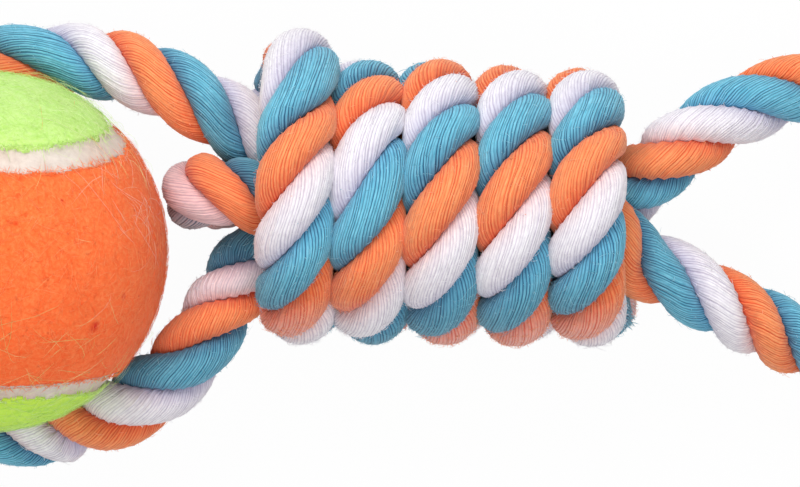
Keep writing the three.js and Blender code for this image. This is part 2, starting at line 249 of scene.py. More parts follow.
def winding_point(turns):
    drawn = min(max((turns - DRAWN_FROM) / DRAWN_OVER, 0), 1)
    off = (turns - SIDE_OF_TURN) / RISE_SPAN
    rise = RISE * math.cos(math.pi * off) ** 2 if abs(off) < 0.5 else 0
    radius = WINDING_RADIUS + rise - DRAWN_IN * drawn
    angle = 2 * math.pi * (turns - SIDE_OF_TURN)
    back = SLANT * math.sin(2 * math.pi * turns) / (2 * math.pi)
    lean = FIRST_LEAN * math.exp(-(((turns - FIRST_LEAN_AT) / FIRST_LEAN_SPAN) ** 2))
    x = WINDING_START + PITCH * (turns + back) + lean
    return (x, radius * math.cos(angle) - DRAWN_DOWN * drawn, AXIS_Z + radius * math.sin(angle))


last_step = round(TURNS * STEPS_PER_TURN)
winding_route = [*TURN_BACK_ROUTE]
winding_route += [winding_point(step / STEPS_PER_TURN) for step in range(2, last_step + 1)]
onward = np.array(winding_route[-1]) - np.array(winding_route[-2])
onward *= 2 * WOUND_RADIUS / np.linalg.norm(onward)
winding_route.append(tuple(np.array(winding_route[-1]) + onward))
print("points of the winding:", len(winding_route))

# %% [markdown]
# A smooth line goes through each list of points. A curve object could hold it, but the strands
# have to be laid round it by code, so the curve is worked out here: a Catmull-Rom spline, which
# passes through all its points without swinging wide of them. It is then cut into even steps,
# and each step is a station of the rope.

# %% Smooth lines through the points
RING_STEP = 1.25
LONG_STEP = 1.5
SPAN_STEPS = 24


def smooth_line(points, step):
    p = np.array(points, float)
    p = np.vstack([2 * p[0] - p[1], p, 2 * p[-1] - p[-2]])
    share = np.linspace(0, 1, SPAN_STEPS, endpoint=False)[:, None]
    spans = []
    for p0, p1, p2, p3 in zip(p, p[1:], p[2:], p[3:]):
        d0, d1, d2 = (np.linalg.norm(q - r) ** 0.5 for q, r in ((p1, p0), (p2, p1), (p3, p2)))
        t1 = d1 * ((p1 - p0) / d0 - (p2 - p0) / (d0 + d1) + (p2 - p1) / d1)
        t2 = d1 * ((p2 - p1) / d1 - (p3 - p1) / (d1 + d2) + (p3 - p2) / d2)
        cubic = 2 * p1 - 2 * p2 + t1 + t2
        square = -3 * p1 + 3 * p2 - 2 * t1 - t2
        spans.append(cubic * share**3 + square * share**2 + t1 * share + p1)
    dense = np.vstack([*spans, p[-2:-1]])
    along = np.concatenate([[0], np.cumsum(np.linalg.norm(np.diff(dense, axis=0), axis=1))])
    count = int(round(along[-1] / step)) + 1
    even = np.linspace(0, along[-1], count)
    return np.stack([np.interp(even, along, dense[:, k]) for k in range(3)], axis=1)


def length_of(line):
    return float(np.linalg.norm(np.diff(line, axis=0), axis=1).sum())


ball_loop_line = smooth_line(BALL_LOOP_ROUTE, RING_STEP)
handle_line = smooth_line(HANDLE_ROUTE, LONG_STEP)
winding_line = smooth_line(winding_route, RING_STEP)
print("lengths in mm:", [round(length_of(x)) for x in (ball_loop_line, handle_line, winding_line)])

# %% [markdown]
# A laid rope is three strands twisted round each other to the right. Every station of the middle
# line gets two directions across it, carried along without any twist of their own. A curve's
# own tilt would do for a plain tube, but here each strand has to be told where to stand.

# %% Directions across the rope
START_SIDE = (0.3, 0.5, 0.8)


def unit(vectors):
    return vectors / np.linalg.norm(vectors, axis=-1, keepdims=True)


def directions_across(line):
    along = unit(np.gradient(line, axis=0))
    first = np.zeros_like(line)
    side = np.cross(along[0], START_SIDE)
    for i, forward in enumerate(along):
        side = side - forward * side.dot(forward)
        side = side / np.linalg.norm(side)
        first[i] = side
    return first, np.cross(along, first)


across_ball_loop = directions_across(ball_loop_line)
across_handle = directions_across(handle_line)
across_winding = directions_across(winding_line)
print("stations:", [len(x) for x in (ball_loop_line, handle_line, winding_line)])

# %% [markdown]
# The strands turn through an angle that grows with the length, one full turn in about 25 mm. But a
# real rope is pulled about, so lay marks say at which stations a colour faces up, and the turn is
# stretched or squeezed between them. A short smoothing takes the corners off, so that no mark can
# be seen in the rope.

# %% The angle of the lay
LAY = 25.0
THIRD_TURN = math.radians(120)
STRAND_TURN = {"white": 0.0, "blue": -THIRD_TURN, "orange": THIRD_TURN}
PAST_ENDS = 400
SMOOTHED_OVER = 9
SMOOTHING_MARGIN = 8


def lay_angle(line, first, second, marks):
    spacing = length_of(line) / (len(line) - 1)
    up = np.arctan2(second[:, 2], first[:, 2])
    places, angles = [], []
    for place, colour in marks:
        wanted = up[place] - STRAND_TURN[colour]
        nominal = wanted
        if places:
            nominal = angles[-1] + 2 * math.pi * (place - places[-1]) * spacing / LAY
        turns = round((nominal - wanted) / (2 * math.pi))
        places.append(place)
        angles.append(wanted + 2 * math.pi * turns)
    rate = 2 * math.pi * spacing / LAY
    places = [places[0] - PAST_ENDS, *places, places[-1] + PAST_ENDS]
    angles = [angles[0] - PAST_ENDS * rate, *angles, angles[-1] + PAST_ENDS * rate]
    raw = np.interp(np.arange(-SMOOTHING_MARGIN, len(line) + SMOOTHING_MARGIN), places, angles)
    window = np.hanning(SMOOTHED_OVER)[1:-1]
    smooth = np.convolve(raw, window / window.sum(), mode="same")
    return smooth[SMOOTHING_MARGIN:-SMOOTHING_MARGIN]


print("the lay turns", round(360 / LAY, 1), "degrees in a millimetre")

# %% [markdown]
# The two loops get their marks by place: at this spot of the table's plane, this colour is on top.
# The nearest station is looked for along the rope, always further on than the last one, because a
# loop comes past the same spot twice.

# %% Lay marks of the two loops
BALL_LOOP_MARKS = [
    (-24.6, 12.6, "white"),
    (-33.6, 16.9, "blue"),
    (-43.9, 21.4, "orange"),
    (-52.1, 23.5, "white"),
    (-60.4, 24.4, "blue"),
    (-74.5, 23.8, "orange"),
    (-78.0, -40.8, "white"),
    (-64.8, -41.4, "blue"),
    (-55.0, -42.4, "orange"),
    (-46.6, -36.3, "white"),
    (-40.4, -28.7, "blue"),
    (-35.3, -19.6, "orange"),
    (-32.0, -12.8, "white"),
]
HANDLE_MARKS = [
    (40.4, 2.0, "blue"),
    (46.6, 7.9, "orange"),
    (53.6, 13.2, "white"),
    (63.0, 18.0, "blue"),
    (75.0, 20.9, "orange"),
    (70.0, -24.6, "blue"),
    (62.6, -21.3, "orange"),
    (55.4, -17.5, "white"),
    (45.2, -12.4, "blue"),
    (36.9, -6.9, "orange"),
]


def nearest_stations(line, marks):
    found, start = [], 0
    for x, y, colour in marks:
        away = np.hypot(line[start:, 0] - x, line[start:, 1] - y)
        start += int(np.argmin(away))
        found.append((start, colour))
    return found


ball_loop_marks = nearest_stations(ball_loop_line, BALL_LOOP_MARKS)
handle_marks = nearest_stations(handle_line, HANDLE_MARKS)
ball_loop_lay = lay_angle(ball_loop_line, *across_ball_loop, ball_loop_marks)
handle_lay = lay_angle(handle_line, *across_handle, handle_marks)
print("ball loop lay marks at stations", [place for place, _ in ball_loop_marks])

# %% [markdown]
# On the winding the colours follow each other down the front of every turn, so a turn's row gives
# the first colour and then the heights at which one colour after another faces up. A few marks
# more hold the colours on top of the first and last turn, and on the nose. None stands where the
# rope runs straight up or down, because there no side of it faces up and the strands would kink.

# %% Lay marks of the winding
NEXT_COLOUR = {"white": "blue", "blue": "orange", "orange": "white"}
FRONT_MARKS = [
    ("blue", 15.0, 8.4, -1.2, -10.0, -16.8),
    ("blue", 18.0, 14.9, 9.5, -2.5, -10.0, -16.8),
    ("orange", 18.2, 15.2, 9.6, -0.4, -10.0, -16.4),
    ("white", 16.0, 10.2, 3.2, -6.6, -15.4),
    ("white", 16.4, 11.2, 5.6, -3.2, -11.7, -17.4),
]
# For a turn: the colours on top of it, and how many stations each is before the turn's row.
TOP_MARKS = {0: [("orange", 33), ("white", 12)], 4: [("orange", 13)]}
NOSE_MARK = (-30.6, "orange")
NOSE_STATIONS = 16
TURN_BACK_MARKS = [(17, "white"), (34, "white")]
FIRST_TURN_FROM = 0.1
first_turn_point = np.array(winding_point(FIRST_TURN_FROM))
first_turn_at = int(np.argmin(np.linalg.norm(winding_line - first_turn_point, axis=1)))


def front_stations(line, turn):
    on_top = np.flatnonzero((line[:, 2] > AXIS_Z) & (np.arange(len(line)) > first_turn_at))
    runs = np.split(on_top, np.flatnonzero(np.diff(on_top) > 1) + 1)
    return runs[turn]


nose_station = int(np.argmin(np.abs(winding_line[:NOSE_STATIONS, 0] - NOSE_MARK[0])))
winding_marks = [(nose_station, NOSE_MARK[1]), *TURN_BACK_MARKS]
for turn, (colour, *heights) in enumerate(FRONT_MARKS):
    front = front_stations(winding_line, turn)
    facing = [int(front[np.argmin(np.abs(winding_line[front, 1] - y))]) for y in heights]
    for hidden, before in TOP_MARKS.get(turn, []):
        winding_marks.append((facing[0] - before, hidden))
    for station in facing:
        winding_marks.append((station, colour))
        colour = NEXT_COLOUR[colour]
winding_lay = lay_angle(winding_line, *across_winding, winding_marks)
print("winding lay marks:", len(winding_marks), "rope ends at", winding_line[-1].round(1))

# %% [markdown]
# Across the rope a strand is an oval, cut flat where it presses on its two neighbours. A round
# section would leave a hole in the middle of the rope and thin, sharp grooves. Nothing in a rope
# is quite even, so a slow noise, smooth along the rope and different from yarn to yarn, will move
# everything a little.

# %% The section of one strand
STRAND_OUT = 0.49
STRAND_DEEP = 0.51
STRAND_WIDE = 0.62
WEDGE = math.radians(60)
NEIGHBOURS_AT = (math.radians(150), math.radians(-150))
WALL_GAP = 0.004
LEAST_FACING = 0.05


def strand_section(angle):
    skin = 1 / np.sqrt((np.cos(angle) / STRAND_DEEP) ** 2 + (np.sin(angle) / STRAND_WIDE) ** 2)
    wall = STRAND_OUT * math.sin(WEDGE) - WALL_GAP
    for side in NEIGHBOURS_AT:
        facing = np.cos(angle - side)
        skin = np.minimum(skin, wall / np.maximum(facing, LEAST_FACING))
    return skin


def eased(share):
    return share * share * (3 - 2 * share)


def slow_noise(rng, columns, stations, every):
    knots = stations // every + 3
    table = rng.normal(size=(knots, columns))
    at = np.arange(stations) / every
    low = at.astype(int)
    share = eased((at - low)[:, None])
    return table[low] * (1 - share) + table[low + 1] * share


print("a strand is", round(2 * STRAND_DEEP * ROPE_RADIUS, 1), "mm deep")

# %% [markdown]
# Each strand is a bundle of soft yarns. Round the strand every yarn has three corners, one of them in
# the valley beside it and two on its back. The ridges could be bump in a material, but as real
# geometry they are part of the mesh itself. No two yarns are quite the same: they start unevenly and
# wander between their neighbours, and the valleys are deeper here and shallower there.

# %% Yarns round a strand
YARNS = 46
YARN_CORNERS = 3
YARN_UNEVEN = 0.13
YARN_WANDER = 0.16
YARN_PROFILE = (1.0, 0.08, 0.08)
VALLEY_CUT = 0.8
VALLEY_CHANGE = 0.22
VALLEY_LIMITS = (0.35, 1.25)


def yarn_places(rng, stations):
    edges = np.arange(YARNS) + rng.uniform(-YARN_UNEVEN, YARN_UNEVEN, YARNS)
    edges = edges + YARN_WANDER * slow_noise(rng, YARNS, stations, every=5)
    widths = np.diff(np.hstack([edges, edges[:, :1] + YARNS]), axis=1)
    shares = np.arange(YARN_CORNERS) / YARN_CORNERS
    return (edges[..., None] + widths[..., None] * shares).reshape(stations, -1)


def yarn_valleys(rng, stations):
    change = VALLEY_CHANGE * slow_noise(rng, YARNS, stations, every=7)
    cut = np.clip(VALLEY_CUT + change, *VALLEY_LIMITS)[:, :, None]
    return (cut * np.array(YARN_PROFILE)).reshape(stations, -1)


def yarn_noise(rng, stations, every):
    return np.repeat(slow_noise(rng, YARNS, stations, every), YARN_CORNERS, axis=1)


print("corners round a strand:", YARNS * YARN_CORNERS)

# %% [markdown]
# The strand's skin is a grid, with one ring of corners at every station. The yarns are twisted to the
# left, against the rope's own lay, and that is why those on the outside run nearly along the rope. A
# plain tube with a twisted pattern would do from afar, but it would have no ridges at its edge. Seven
# numbers are kept for each corner, and the finish will read them.

# %% The skin of one strand
STRAND_WAVER = 0.015
YARN_VALLEY = 0.17
YARN_LIFT = 0.05
SKIN_GRAIN = 0.016
TONE_CHANGE = 0.2
TABLE_Z = 0.05
# Some of these numbers place painted shade and painted reflection in the finish.
STORED = ("valley", "depth", "side", "tone", "bleed", "grime", "washed")


def strand_skin(line, across, lay, colour, radius, twist, turn, sink, seed):
    rng = np.random.default_rng(seed)
    first, second = (x[:, None, :] for x in across)
    stations = len(line)
    middle_turn = (lay + turn)[:, None]
    waver = STRAND_WAVER * slow_noise(rng, 1, stations, every=9)[:, 0]
    out = STRAND_OUT * radius * (1 - sink) * (1 + waver)
    swing = np.cos(middle_turn) * first[:, 0] + np.sin(middle_turn) * second[:, 0]
    middle = line + out[:, None] * swing
    yarn_turn = np.cumsum(twist * np.gradient(lay))
    angle = 2 * math.pi * yarn_places(rng, stations) / YARNS - yarn_turn[:, None]
    reach = radius[:, None] * strand_section(angle - middle_turn)
    valley = yarn_valleys(rng, stations)
    lift = yarn_noise(rng, stations, every=6)
    grain = SKIN_GRAIN * rng.normal(size=reach.shape)
    reach = reach - YARN_VALLEY * valley + YARN_LIFT * lift + grain
    skin = middle[:, None, :] + reach[..., None] * (
        np.cos(angle)[..., None] * first + np.sin(angle)[..., None] * second
    )
    depth = np.linalg.norm(skin - line[:, None, :], axis=2) / radius[:, None]
    side = 0.5 + 0.5 * np.sin(angle - middle_turn)
    skin[..., 2] = np.maximum(skin[..., 2], TABLE_Z)
    tone = 0.5 + TONE_CHANGE * yarn_noise(rng, stations, every=16)
    strand = {"skin": skin, "colour": colour}
    strand.update({title: np.zeros_like(valley) for title in STORED})
    strand.update({"valley": valley, "depth": depth, "side": side, "tone": tone})
    return strand


print("numbers kept for each corner:", ", ".join(STORED))

# %% [markdown]
# Every finish here is a small tree of shader nodes, and the same few nodes come back. The first ones
# make a pattern: a noise, a stored number of the mesh, and a ramp that turns a number into a colour.
# They could be dragged from the Add menu one by one, but short functions that make and link them keep
# a whole finish in sight.

# %% Nodes that make a pattern
def new_material(name):
    material = bpy.data.materials.new(name)
    material.use_nodes = True
    tree = material.node_tree
    return material, tree, tree.nodes["Principled BSDF"]


def ramp_node(tree, stops, source):
    node = tree.nodes.new("ShaderNodeValToRGB")
    node.color_ramp.elements[0].position = stops[0][0]
    node.color_ramp.elements[0].color = (*stops[0][1], 1)
    node.color_ramp.elements[1].position = stops[-1][0]
    node.color_ramp.elements[1].color = (*stops[-1][1], 1)
    for place, colour in stops[1:-1]:
        node.color_ramp.elements.new(place).color = (*colour, 1)
    tree.links.new(source, node.inputs["Fac"])
    return node.outputs["Color"]


def attribute_node(tree, name):
    node = tree.nodes.new("ShaderNodeAttribute")
    node.attribute_name = name
    return node.outputs["Fac"]


def noise_node(tree, vector, scale, detail=3.0, roughness=0.6):
    node = tree.nodes.new("ShaderNodeTexNoise")
    node.inputs["Scale"].default_value = scale
    node.inputs["Detail"].default_value = detail
    node.inputs["Roughness"].default_value = roughness
    tree.links.new(vector, node.inputs["Vector"])
    return node.outputs["Fac"]


def mapped(tree, vector, scale):
    node = tree.nodes.new("ShaderNodeMapping")
    node.inputs["Scale"].default_value = scale
    tree.links.new(vector, node.inputs["Vector"])
    return node.outputs["Vector"]


print("pattern nodes are ready")

# %% [markdown]
# The other nodes put patterns together: a product of two colours, a mix toward one colour, and a bump.
# A Mix node has sockets for numbers, vectors and colours under the same names, so its colour sockets
# are taken by their numbers.

# %% Nodes that mix and bump
MIX_FIRST = 6
MIX_SECOND = 7
MIX_RESULT = 2


def multiplied(tree, one, other):
    node = tree.nodes.new("ShaderNodeMix")
    node.data_type = "RGBA"
    node.blend_type = "MULTIPLY"
    node.inputs["Factor"].default_value = 1
    tree.links.new(one, node.inputs[MIX_FIRST])
    tree.links.new(other, node.inputs[MIX_SECOND])
    return node.outputs[MIX_RESULT]


def mixed_to(tree, factor, colour, target):
    node = tree.nodes.new("ShaderNodeMix")
    node.data_type = "RGBA"
    node.inputs[MIX_SECOND].default_value = (*target, 1)
    tree.links.new(factor, node.inputs["Factor"])
    tree.links.new(colour, node.inputs[MIX_FIRST])
    return node.outputs[MIX_RESULT]


def bumped(tree, height, strength, distance):
    node = tree.nodes.new("ShaderNodeBump")
    node.inputs["Strength"].default_value = strength
    node.inputs["Distance"].default_value = distance
    tree.links.new(height, node.inputs["Height"])
    return node.outputs["Normal"]


print("mixing nodes are ready")

# %% [markdown]
# Three dyes colour the strands. Each has a deep and a pale shade, and tints to be multiplied in:
# painted shade for the valleys between yarns, painted shade and painted reflection of the neighbouring
# dye for the grooves on its two sides, a neighbour's dye that has bled in mixed with painted shade and
# reflection, and painted shade in spots and toward the bottom of the picture. Darkening all three by
# one grey would be shorter, but it would make the cotton dull.

# %% Colours of the cotton
DYES = {
    "blue": ((0.068, 0.41, 0.58), (0.29, 0.74, 0.90)),
    "orange": ((1.0, 0.232, 0.065), (1.0, 0.46, 0.195)),
    "white": ((0.91, 0.88, 0.915), (0.985, 0.975, 0.985)),
}
# Painted shade: for each dye, the tint that darkens the valleys between its yarns.
VALLEY_SHADES = {"blue": (0.22, 0.30, 0.39), "orange": (0.84, 0.40, 0.34), "white": (0.72, 0.68, 0.76)}
# Painted shade in the grooves between strands, tinted on each side by a painted reflection of the
# neighbouring dye.
GROOVE_SHADES_AND_BOUNCE = {
    "blue": ((0.26, 0.23, 0.38), (0.68, 0.72, 0.86)),
    "orange": ((0.80, 0.33, 0.31), (0.96, 0.58, 0.54)),
    "white": ((0.58, 0.55, 0.72), (0.96, 0.70, 0.66)),
}
# A neighbour's dye that has bled in, mixed with painted shade on blue and a painted reflection of
# orange on white.
BLEED_AND_LIGHT_TINTS = {"blue": (0.80, 0.74, 0.74), "orange": (1.0, 0.90, 0.88), "white": (0.96, 0.75, 0.73)}
# Painted shade: tints that darken a strand where it lies close to other parts, and on the side toward
# the bottom of the picture.
SHADE_TINTS = {"blue": (0.55, 0.54, 0.58), "orange": (0.86, 0.64, 0.62), "white": (0.88, 0.85, 0.86)}
WASHED = (0.96, 0.88, 0.89)
CLEAN = (1, 1, 1)
print("dyes:", ", ".join(DYES))

# %% [markdown]
# One function makes all three finishes. The material follows the yarns by the mesh's own UV map, whose
# U counts yarns and whose V grows from station to station. Thin streaks along V are the fibres, and
# the numbers stored in the mesh say where each tint goes, how light a yarn is, and where the dye is
# washed out. A painted image could do it too, but it would have to be kept beside the script.

# %% Finish of the dyed cotton
# How far out from the rope's middle the painted shade of the grooves reaches.
GROOVE_SHADE_DEPTHS = [(0.58, (0, 0, 0)), (0.89, (0.60, 0.60, 0.60)), (1.0, CLEAN)]
STREAK_SCALE = (4.5, 0.5, 1)
TWIST_SCALE = (1.3, 0.9, 1)


def dyed_cotton(colour):
    material, tree, shader = new_material(f"cotton_{colour}")
    uv = tree.nodes.new("ShaderNodeUVMap")
    uv.uv_map = "yarns"
    stored = {title: attribute_node(tree, title) for title in STORED}
    streak_place = mapped(tree, uv.outputs["UV"], STREAK_SCALE)
    twist_place = mapped(tree, uv.outputs["UV"], TWIST_SCALE)
    streaks = noise_node(tree, streak_place, scale=1.0, detail=4, roughness=0.65)
    twists = noise_node(tree, twist_place, scale=1.0, detail=2, roughness=0.5)
    fibre = ramp_node(tree, [(0.28, DYES[colour][0]), (0.70, DYES[colour][1])], streaks)
    fibre = mixed_to(tree, stored["washed"], fibre, WASHED)
    twist = ramp_node(tree, [(0.32, (0.86, 0.85, 0.88)), (0.60, CLEAN)], twists)
    yarn = ramp_node(tree, [(0.1, (0.92, 0.91, 0.93)), (0.9, CLEAN)], stored["tone"])
    # Painted shade, which darkens the valleys between yarns.
    valley = ramp_node(tree, [(0.12, CLEAN), (0.75, VALLEY_SHADES[colour])], stored["valley"])
    # Painted shade and painted reflection in the grooves between strands.
    near = ramp_node(tree, [(0.2, GROOVE_SHADES_AND_BOUNCE[colour][0]), (0.8, GROOVE_SHADES_AND_BOUNCE[colour][1])], stored["side"])
    groove = mixed_to(tree, ramp_node(tree, GROOVE_SHADE_DEPTHS, stored["depth"]), near, CLEAN)
    # A neighbour's dye that has bled in, with painted shade and painted reflection.
    bleed = ramp_node(tree, [(0.0, CLEAN), (1.0, BLEED_AND_LIGHT_TINTS[colour])], stored["bleed"])
    # Painted shade, from spots and from the side toward the bottom of the picture.
    grime = ramp_node(tree, [(0.0, CLEAN), (1.0, SHADE_TINTS[colour])], stored["grime"])
    dye = multiplied(tree, multiplied(tree, fibre, twist), multiplied(tree, yarn, valley))
    dye = multiplied(tree, multiplied(tree, dye, groove), multiplied(tree, bleed, grime))
    tree.links.new(dye, shader.inputs["Base Color"])
    bump = bumped(tree, streaks, strength=0.5, distance=0.0002)
    tree.links.new(bump, shader.inputs["Normal"])
    shader.inputs["Roughness"].default_value = 0.95
    shader.inputs["Specular IOR Level"].default_value = 0.1
    shader.inputs["Sheen Weight"].default_value = 0.2
    shader.inputs["Sheen Roughness"].default_value = 0.6
    return material


cotton = {colour: dyed_cotton(colour) for colour in STRAND_TURN}
print("finishes:", [m.name for m in cotton.values()])

# %% [markdown]
# A grid of corners becomes a mesh by joining each corner with the next one round the strand and
# the next one along it, and both ends are closed with a fan of triangles. A Skin or Screw modifier
# couldn't keep track of the yarns, so the faces are listed by code, each with its place in the UV map.

# %% Faces of one strand
def strand_faces(strand, base):
    rows, columns = strand["skin"].shape[:2]
    grid = base + np.arange(rows * columns).reshape(rows, columns)
    beside = np.roll(grid, -1, axis=1)
    quads = np.stack([grid[:-1], beside[:-1], beside[1:], grid[1:]], axis=-1).reshape(-1, 4)
    first_end, last_end = base + rows * columns, base + rows * columns + 1
    caps = [(first_end, int(b), int(a)) for a, b in zip(grid[0], beside[0])]
    caps += [(last_end, int(a), int(b)) for a, b in zip(grid[-1], beside[-1])]
    row, column = np.meshgrid(np.arange(rows - 1), np.arange(columns), indexing="ij")
    u = np.stack([column, column + 1, column + 1, column], axis=-1) / YARN_CORNERS
    v = np.stack([row, row, row + 1, row + 1], axis=-1) * RING_STEP
    uvs = [np.stack([u, v], axis=-1).reshape(-1, 2), np.zeros((3 * len(caps), 2))]
    return [tuple(q) for q in quads.tolist()] + caps, np.vstack(uvs)


print("faces round one station:", YARNS * YARN_CORNERS)

# %% [markdown]
# All the strands of a piece go into one mesh, with a material slot for each colour. Three objects could
# be joined afterwards instead, but that takes longer. The stored numbers become attributes of the
# mesh, in the same order as its corners, so that a finish can read them by name.

# %% Strands into one mesh
END_VALUE = 0.5


def strand_piece(name, strands):
    corners, faces, uvs, colours = [], [], [], []
    stored = {title: [] for title in STORED}
    names = sorted({s["colour"] for s in strands})
    base = 0
    for s in strands:
        ends = [s["skin"][0].mean(axis=0), s["skin"][-1].mean(axis=0)]
        strand_corners = np.vstack([s["skin"].reshape(-1, 3), ends])
        listed, places = strand_faces(s, base)
        corners.append(strand_corners)
        faces += listed
        uvs.append(places)
        for title, values in stored.items():
            values += [s[title].reshape(-1), np.full(2, END_VALUE)]
        colours += [names.index(s["colour"])] * len(listed)
        base += len(strand_corners)
    mesh = bpy.data.meshes.new(name)
    mesh.from_pydata((np.vstack(corners) * MM).tolist(), [], faces)
    for colour in names:
        mesh.materials.append(cotton[colour])
    mesh.polygons.foreach_set("material_index", colours)
    mesh.polygons.foreach_set("use_smooth", [True] * len(faces))
    layer = mesh.uv_layers.new(name="yarns")
    layer.data.foreach_set("uv", np.vstack(uvs).astype(np.float32).ravel())
    for title, values in stored.items():
        layer = mesh.attributes.new(title, "FLOAT", "POINT")
        layer.data.foreach_set("value", np.concatenate(values).astype(np.float32))
    mesh.update()
    piece = bpy.data.objects.new(name, mesh)
    bpy.context.scene.collection.objects.link(piece)
    print(name, "has", sum(len(f) - 2 for f in faces), "triangles")
    return piece


print("material slots of a whole rope:", len(cotton))

# %% [markdown]
# Three strands make a rope. Inside the winding the rope is squeezed, so its radius eases from the
# squeezed size at the ends of a loop to the free size. Two strands may trade places, as where a rope
# was opened and laid again, and a strand may be tucked in under the others. Painted shade and bled dye
# could be painted on by hand. Here they are round spots in space, and each adds to a stored number of
# the corners near it.

# %% Three strands round a line
SQUEEZED_LENGTH = 6
TRADE_SINK = 0.85


def eased_radius(line, squeezed, free, ease):
    spacing = length_of(line) / (len(line) - 1)
    from_end = np.minimum(np.arange(len(line)), np.arange(len(line))[::-1]) * spacing
    share = eased(np.clip((from_end - SQUEEZED_LENGTH) / ease, 0, 1))
    return squeezed + (free - squeezed) * share


def laid_strands(line, across, lay, radius, twist, seed, trade=0.0, tucked=(0.0, 0.0)):
    level = np.zeros(len(line))
    shares = {"white": level - trade, "blue": level + trade, "orange": level}
    sinks = {
        "white": level + TRADE_SINK * np.sin(math.pi * trade),
        "blue": level + tucked[0],
        "orange": level + tucked[1],
    }
    strands = []
    for number, (colour, turn) in enumerate(STRAND_TURN.items()):
        turns = turn + THIRD_TURN * shares[colour]
        strands.append(strand_skin(line, across, lay, colour, radius, twist, turns,
                                   sinks[colour], seed + number))
    return strands


def spotted(strands, title, spots):
    for strand in strands:
        for spot, size, amount in spots:
            from_spot = np.linalg.norm(strand["skin"] - np.array(spot), axis=2)
            strand[title] += amount * np.exp(-((from_spot / size) ** 2))


print("a loop eases out from", CORE_RADIUS, "to", ROPE_RADIUS, "mm radius")

# %% [markdown]
# The ball loop leaves the winding, runs down to the table, goes round the ball below its middle
# and comes back. It is not the same all the way: coming back it is a little fuller, its yarns are
# twisted harder, and for a stretch white and blue have traded places. An even rope would be simpler,
# but its colours would come up in the wrong places, so each change is a row of numbers, one for each
# station.

# %% Changes along the ball loop
BALL_LOOP_EASE = 10
FULLER_AT = (-50.0, -38.0)
FULLER_BY = 0.5
FULLER_SIZE = 16
TRADE_FROM = (-105.0, -20.0)
TRADE_TO = (-56.0, -42.6)
TRADE_LENGTH = 7
BALL_LOOP_TWIST_AT = (45, 100, 150, 165)
BALL_LOOP_TWIST = (0.5, 1.2, 1.2, 1.05)

ball_loop_radius = eased_radius(ball_loop_line, CORE_RADIUS, ROPE_RADIUS, BALL_LOOP_EASE)
from_fuller = np.hypot(*(ball_loop_line[:, :2] - FULLER_AT).T)
ball_loop_radius += FULLER_BY * np.exp(-((from_fuller / FULLER_SIZE) ** 2))
ball_loop_stations = np.arange(len(ball_loop_line))
trade_ends = nearest_stations(ball_loop_line, [(*TRADE_FROM, "blue"), (*TRADE_TO, "blue")])
trade = np.ones(len(ball_loop_line))
for (place, _), sign in zip(trade_ends, (1, -1)):
    trade *= eased(np.clip(0.5 + sign * (ball_loop_stations - place) / TRADE_LENGTH, 0, 1))
ball_loop_twist = np.interp(ball_loop_stations, BALL_LOOP_TWIST_AT, BALL_LOOP_TWIST)
print("ball loop is up to", ball_loop_radius.max().round(2), "mm in radius")

# %% [markdown]
# Now the loop's three strands are laid and become one piece. Painted shade darkens it where it lies
# close against the ball and the winding, and beside the winding a neighbour's dye has bled in, with
# painted shade. It is a free rope.

# %% Rope of the ball loop
# Each spot has a place, a size and an amount.
# Painted shade where the loop lies close to the ball and the winding.
SHADE_SPOTS = [
    ((-49.4, -29.8, 22.0), 7.5, 1.0),
    ((-36.5, -26.0, 24.0), 9.0, 0.55),
    ((-30.6, -8.6, 26.0), 6.0, 1.0),
    ((-30.9, 14.9, 26.0), 5.0, 0.7),
]
# A neighbour's dye beside the winding, with painted shade and painted reflection.
BLEED_AND_LIGHT_SPOTS = [((-32.0, -11.5, 25.5), 7.0, 1.0)]

ball_loop_strands = laid_strands(ball_loop_line, across_ball_loop, ball_loop_lay,
                                 ball_loop_radius, ball_loop_twist, seed=11, trade=trade)
spotted(ball_loop_strands, "grime", SHADE_SPOTS)
spotted(ball_loop_strands, "bleed", BLEED_AND_LIGHT_SPOTS)
rope_ball_loop = strand_piece("rope_ball_loop", ball_loop_strands)
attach(rope_ball_loop, "knot")
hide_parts("ball_loop")

# %% [markdown]
# The handle is the same rope on the other side of the winding. It swings where it leaves the
# winding, and there the real rope simply bends. Its piece is made where it lies and is not attached
# to a body.

# %% Rope of the handle
HANDLE_EASE = 8
HANDLE_TWIST_AT = (50, 167)
HANDLE_TWIST = (1.1, 0.85)
# A spot of painted shade beside the winding.
HANDLE_SHADE_SPOTS = [((46.3, -10.7, 26.0), 8.0, 0.35)]

handle_radius = eased_radius(handle_line, CORE_RADIUS, ROPE_RADIUS, HANDLE_EASE)
handle_twist = np.interp(np.arange(len(handle_line)), HANDLE_TWIST_AT, HANDLE_TWIST)
handle_strands = laid_strands(handle_line, across_handle, handle_lay, handle_radius,
                              handle_twist, seed=23)
spotted(handle_strands, "grime", HANDLE_SHADE_SPOTS)
rope_handle = strand_piece("rope_handle", handle_strands)
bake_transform(rope_handle)
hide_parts("handle_loop")

# %% [markdown]
# The winding is the rope's other end, wound tightly over its own three runs. The turns press on
# each other, so the rope is drawn fuller than its free size and then pressed flat where it meets
# the turns beside it. On top of the first turn blue and orange are tucked in, and white covers
# them. A cloth or soft-body simulation could press the turns together, but it would not keep each
# colour in its place.

# %% Strands of the winding
WOUND_FULL = 7.25
STUB_FULL = 6.4
PRESSED_WIDE = 7.8
PRESSED_FREE = 6.0
PRESSED_HIGH = 0.92
WINDING_TWIST = 0.42
TURNS_EASE_BEFORE = 4
TURNS_EASE = 12
TUCKED_AT = (first_turn_at + 11, first_turn_at + 19)
TUCKED_BY = 0.55
TUCKED_LENGTH = 6


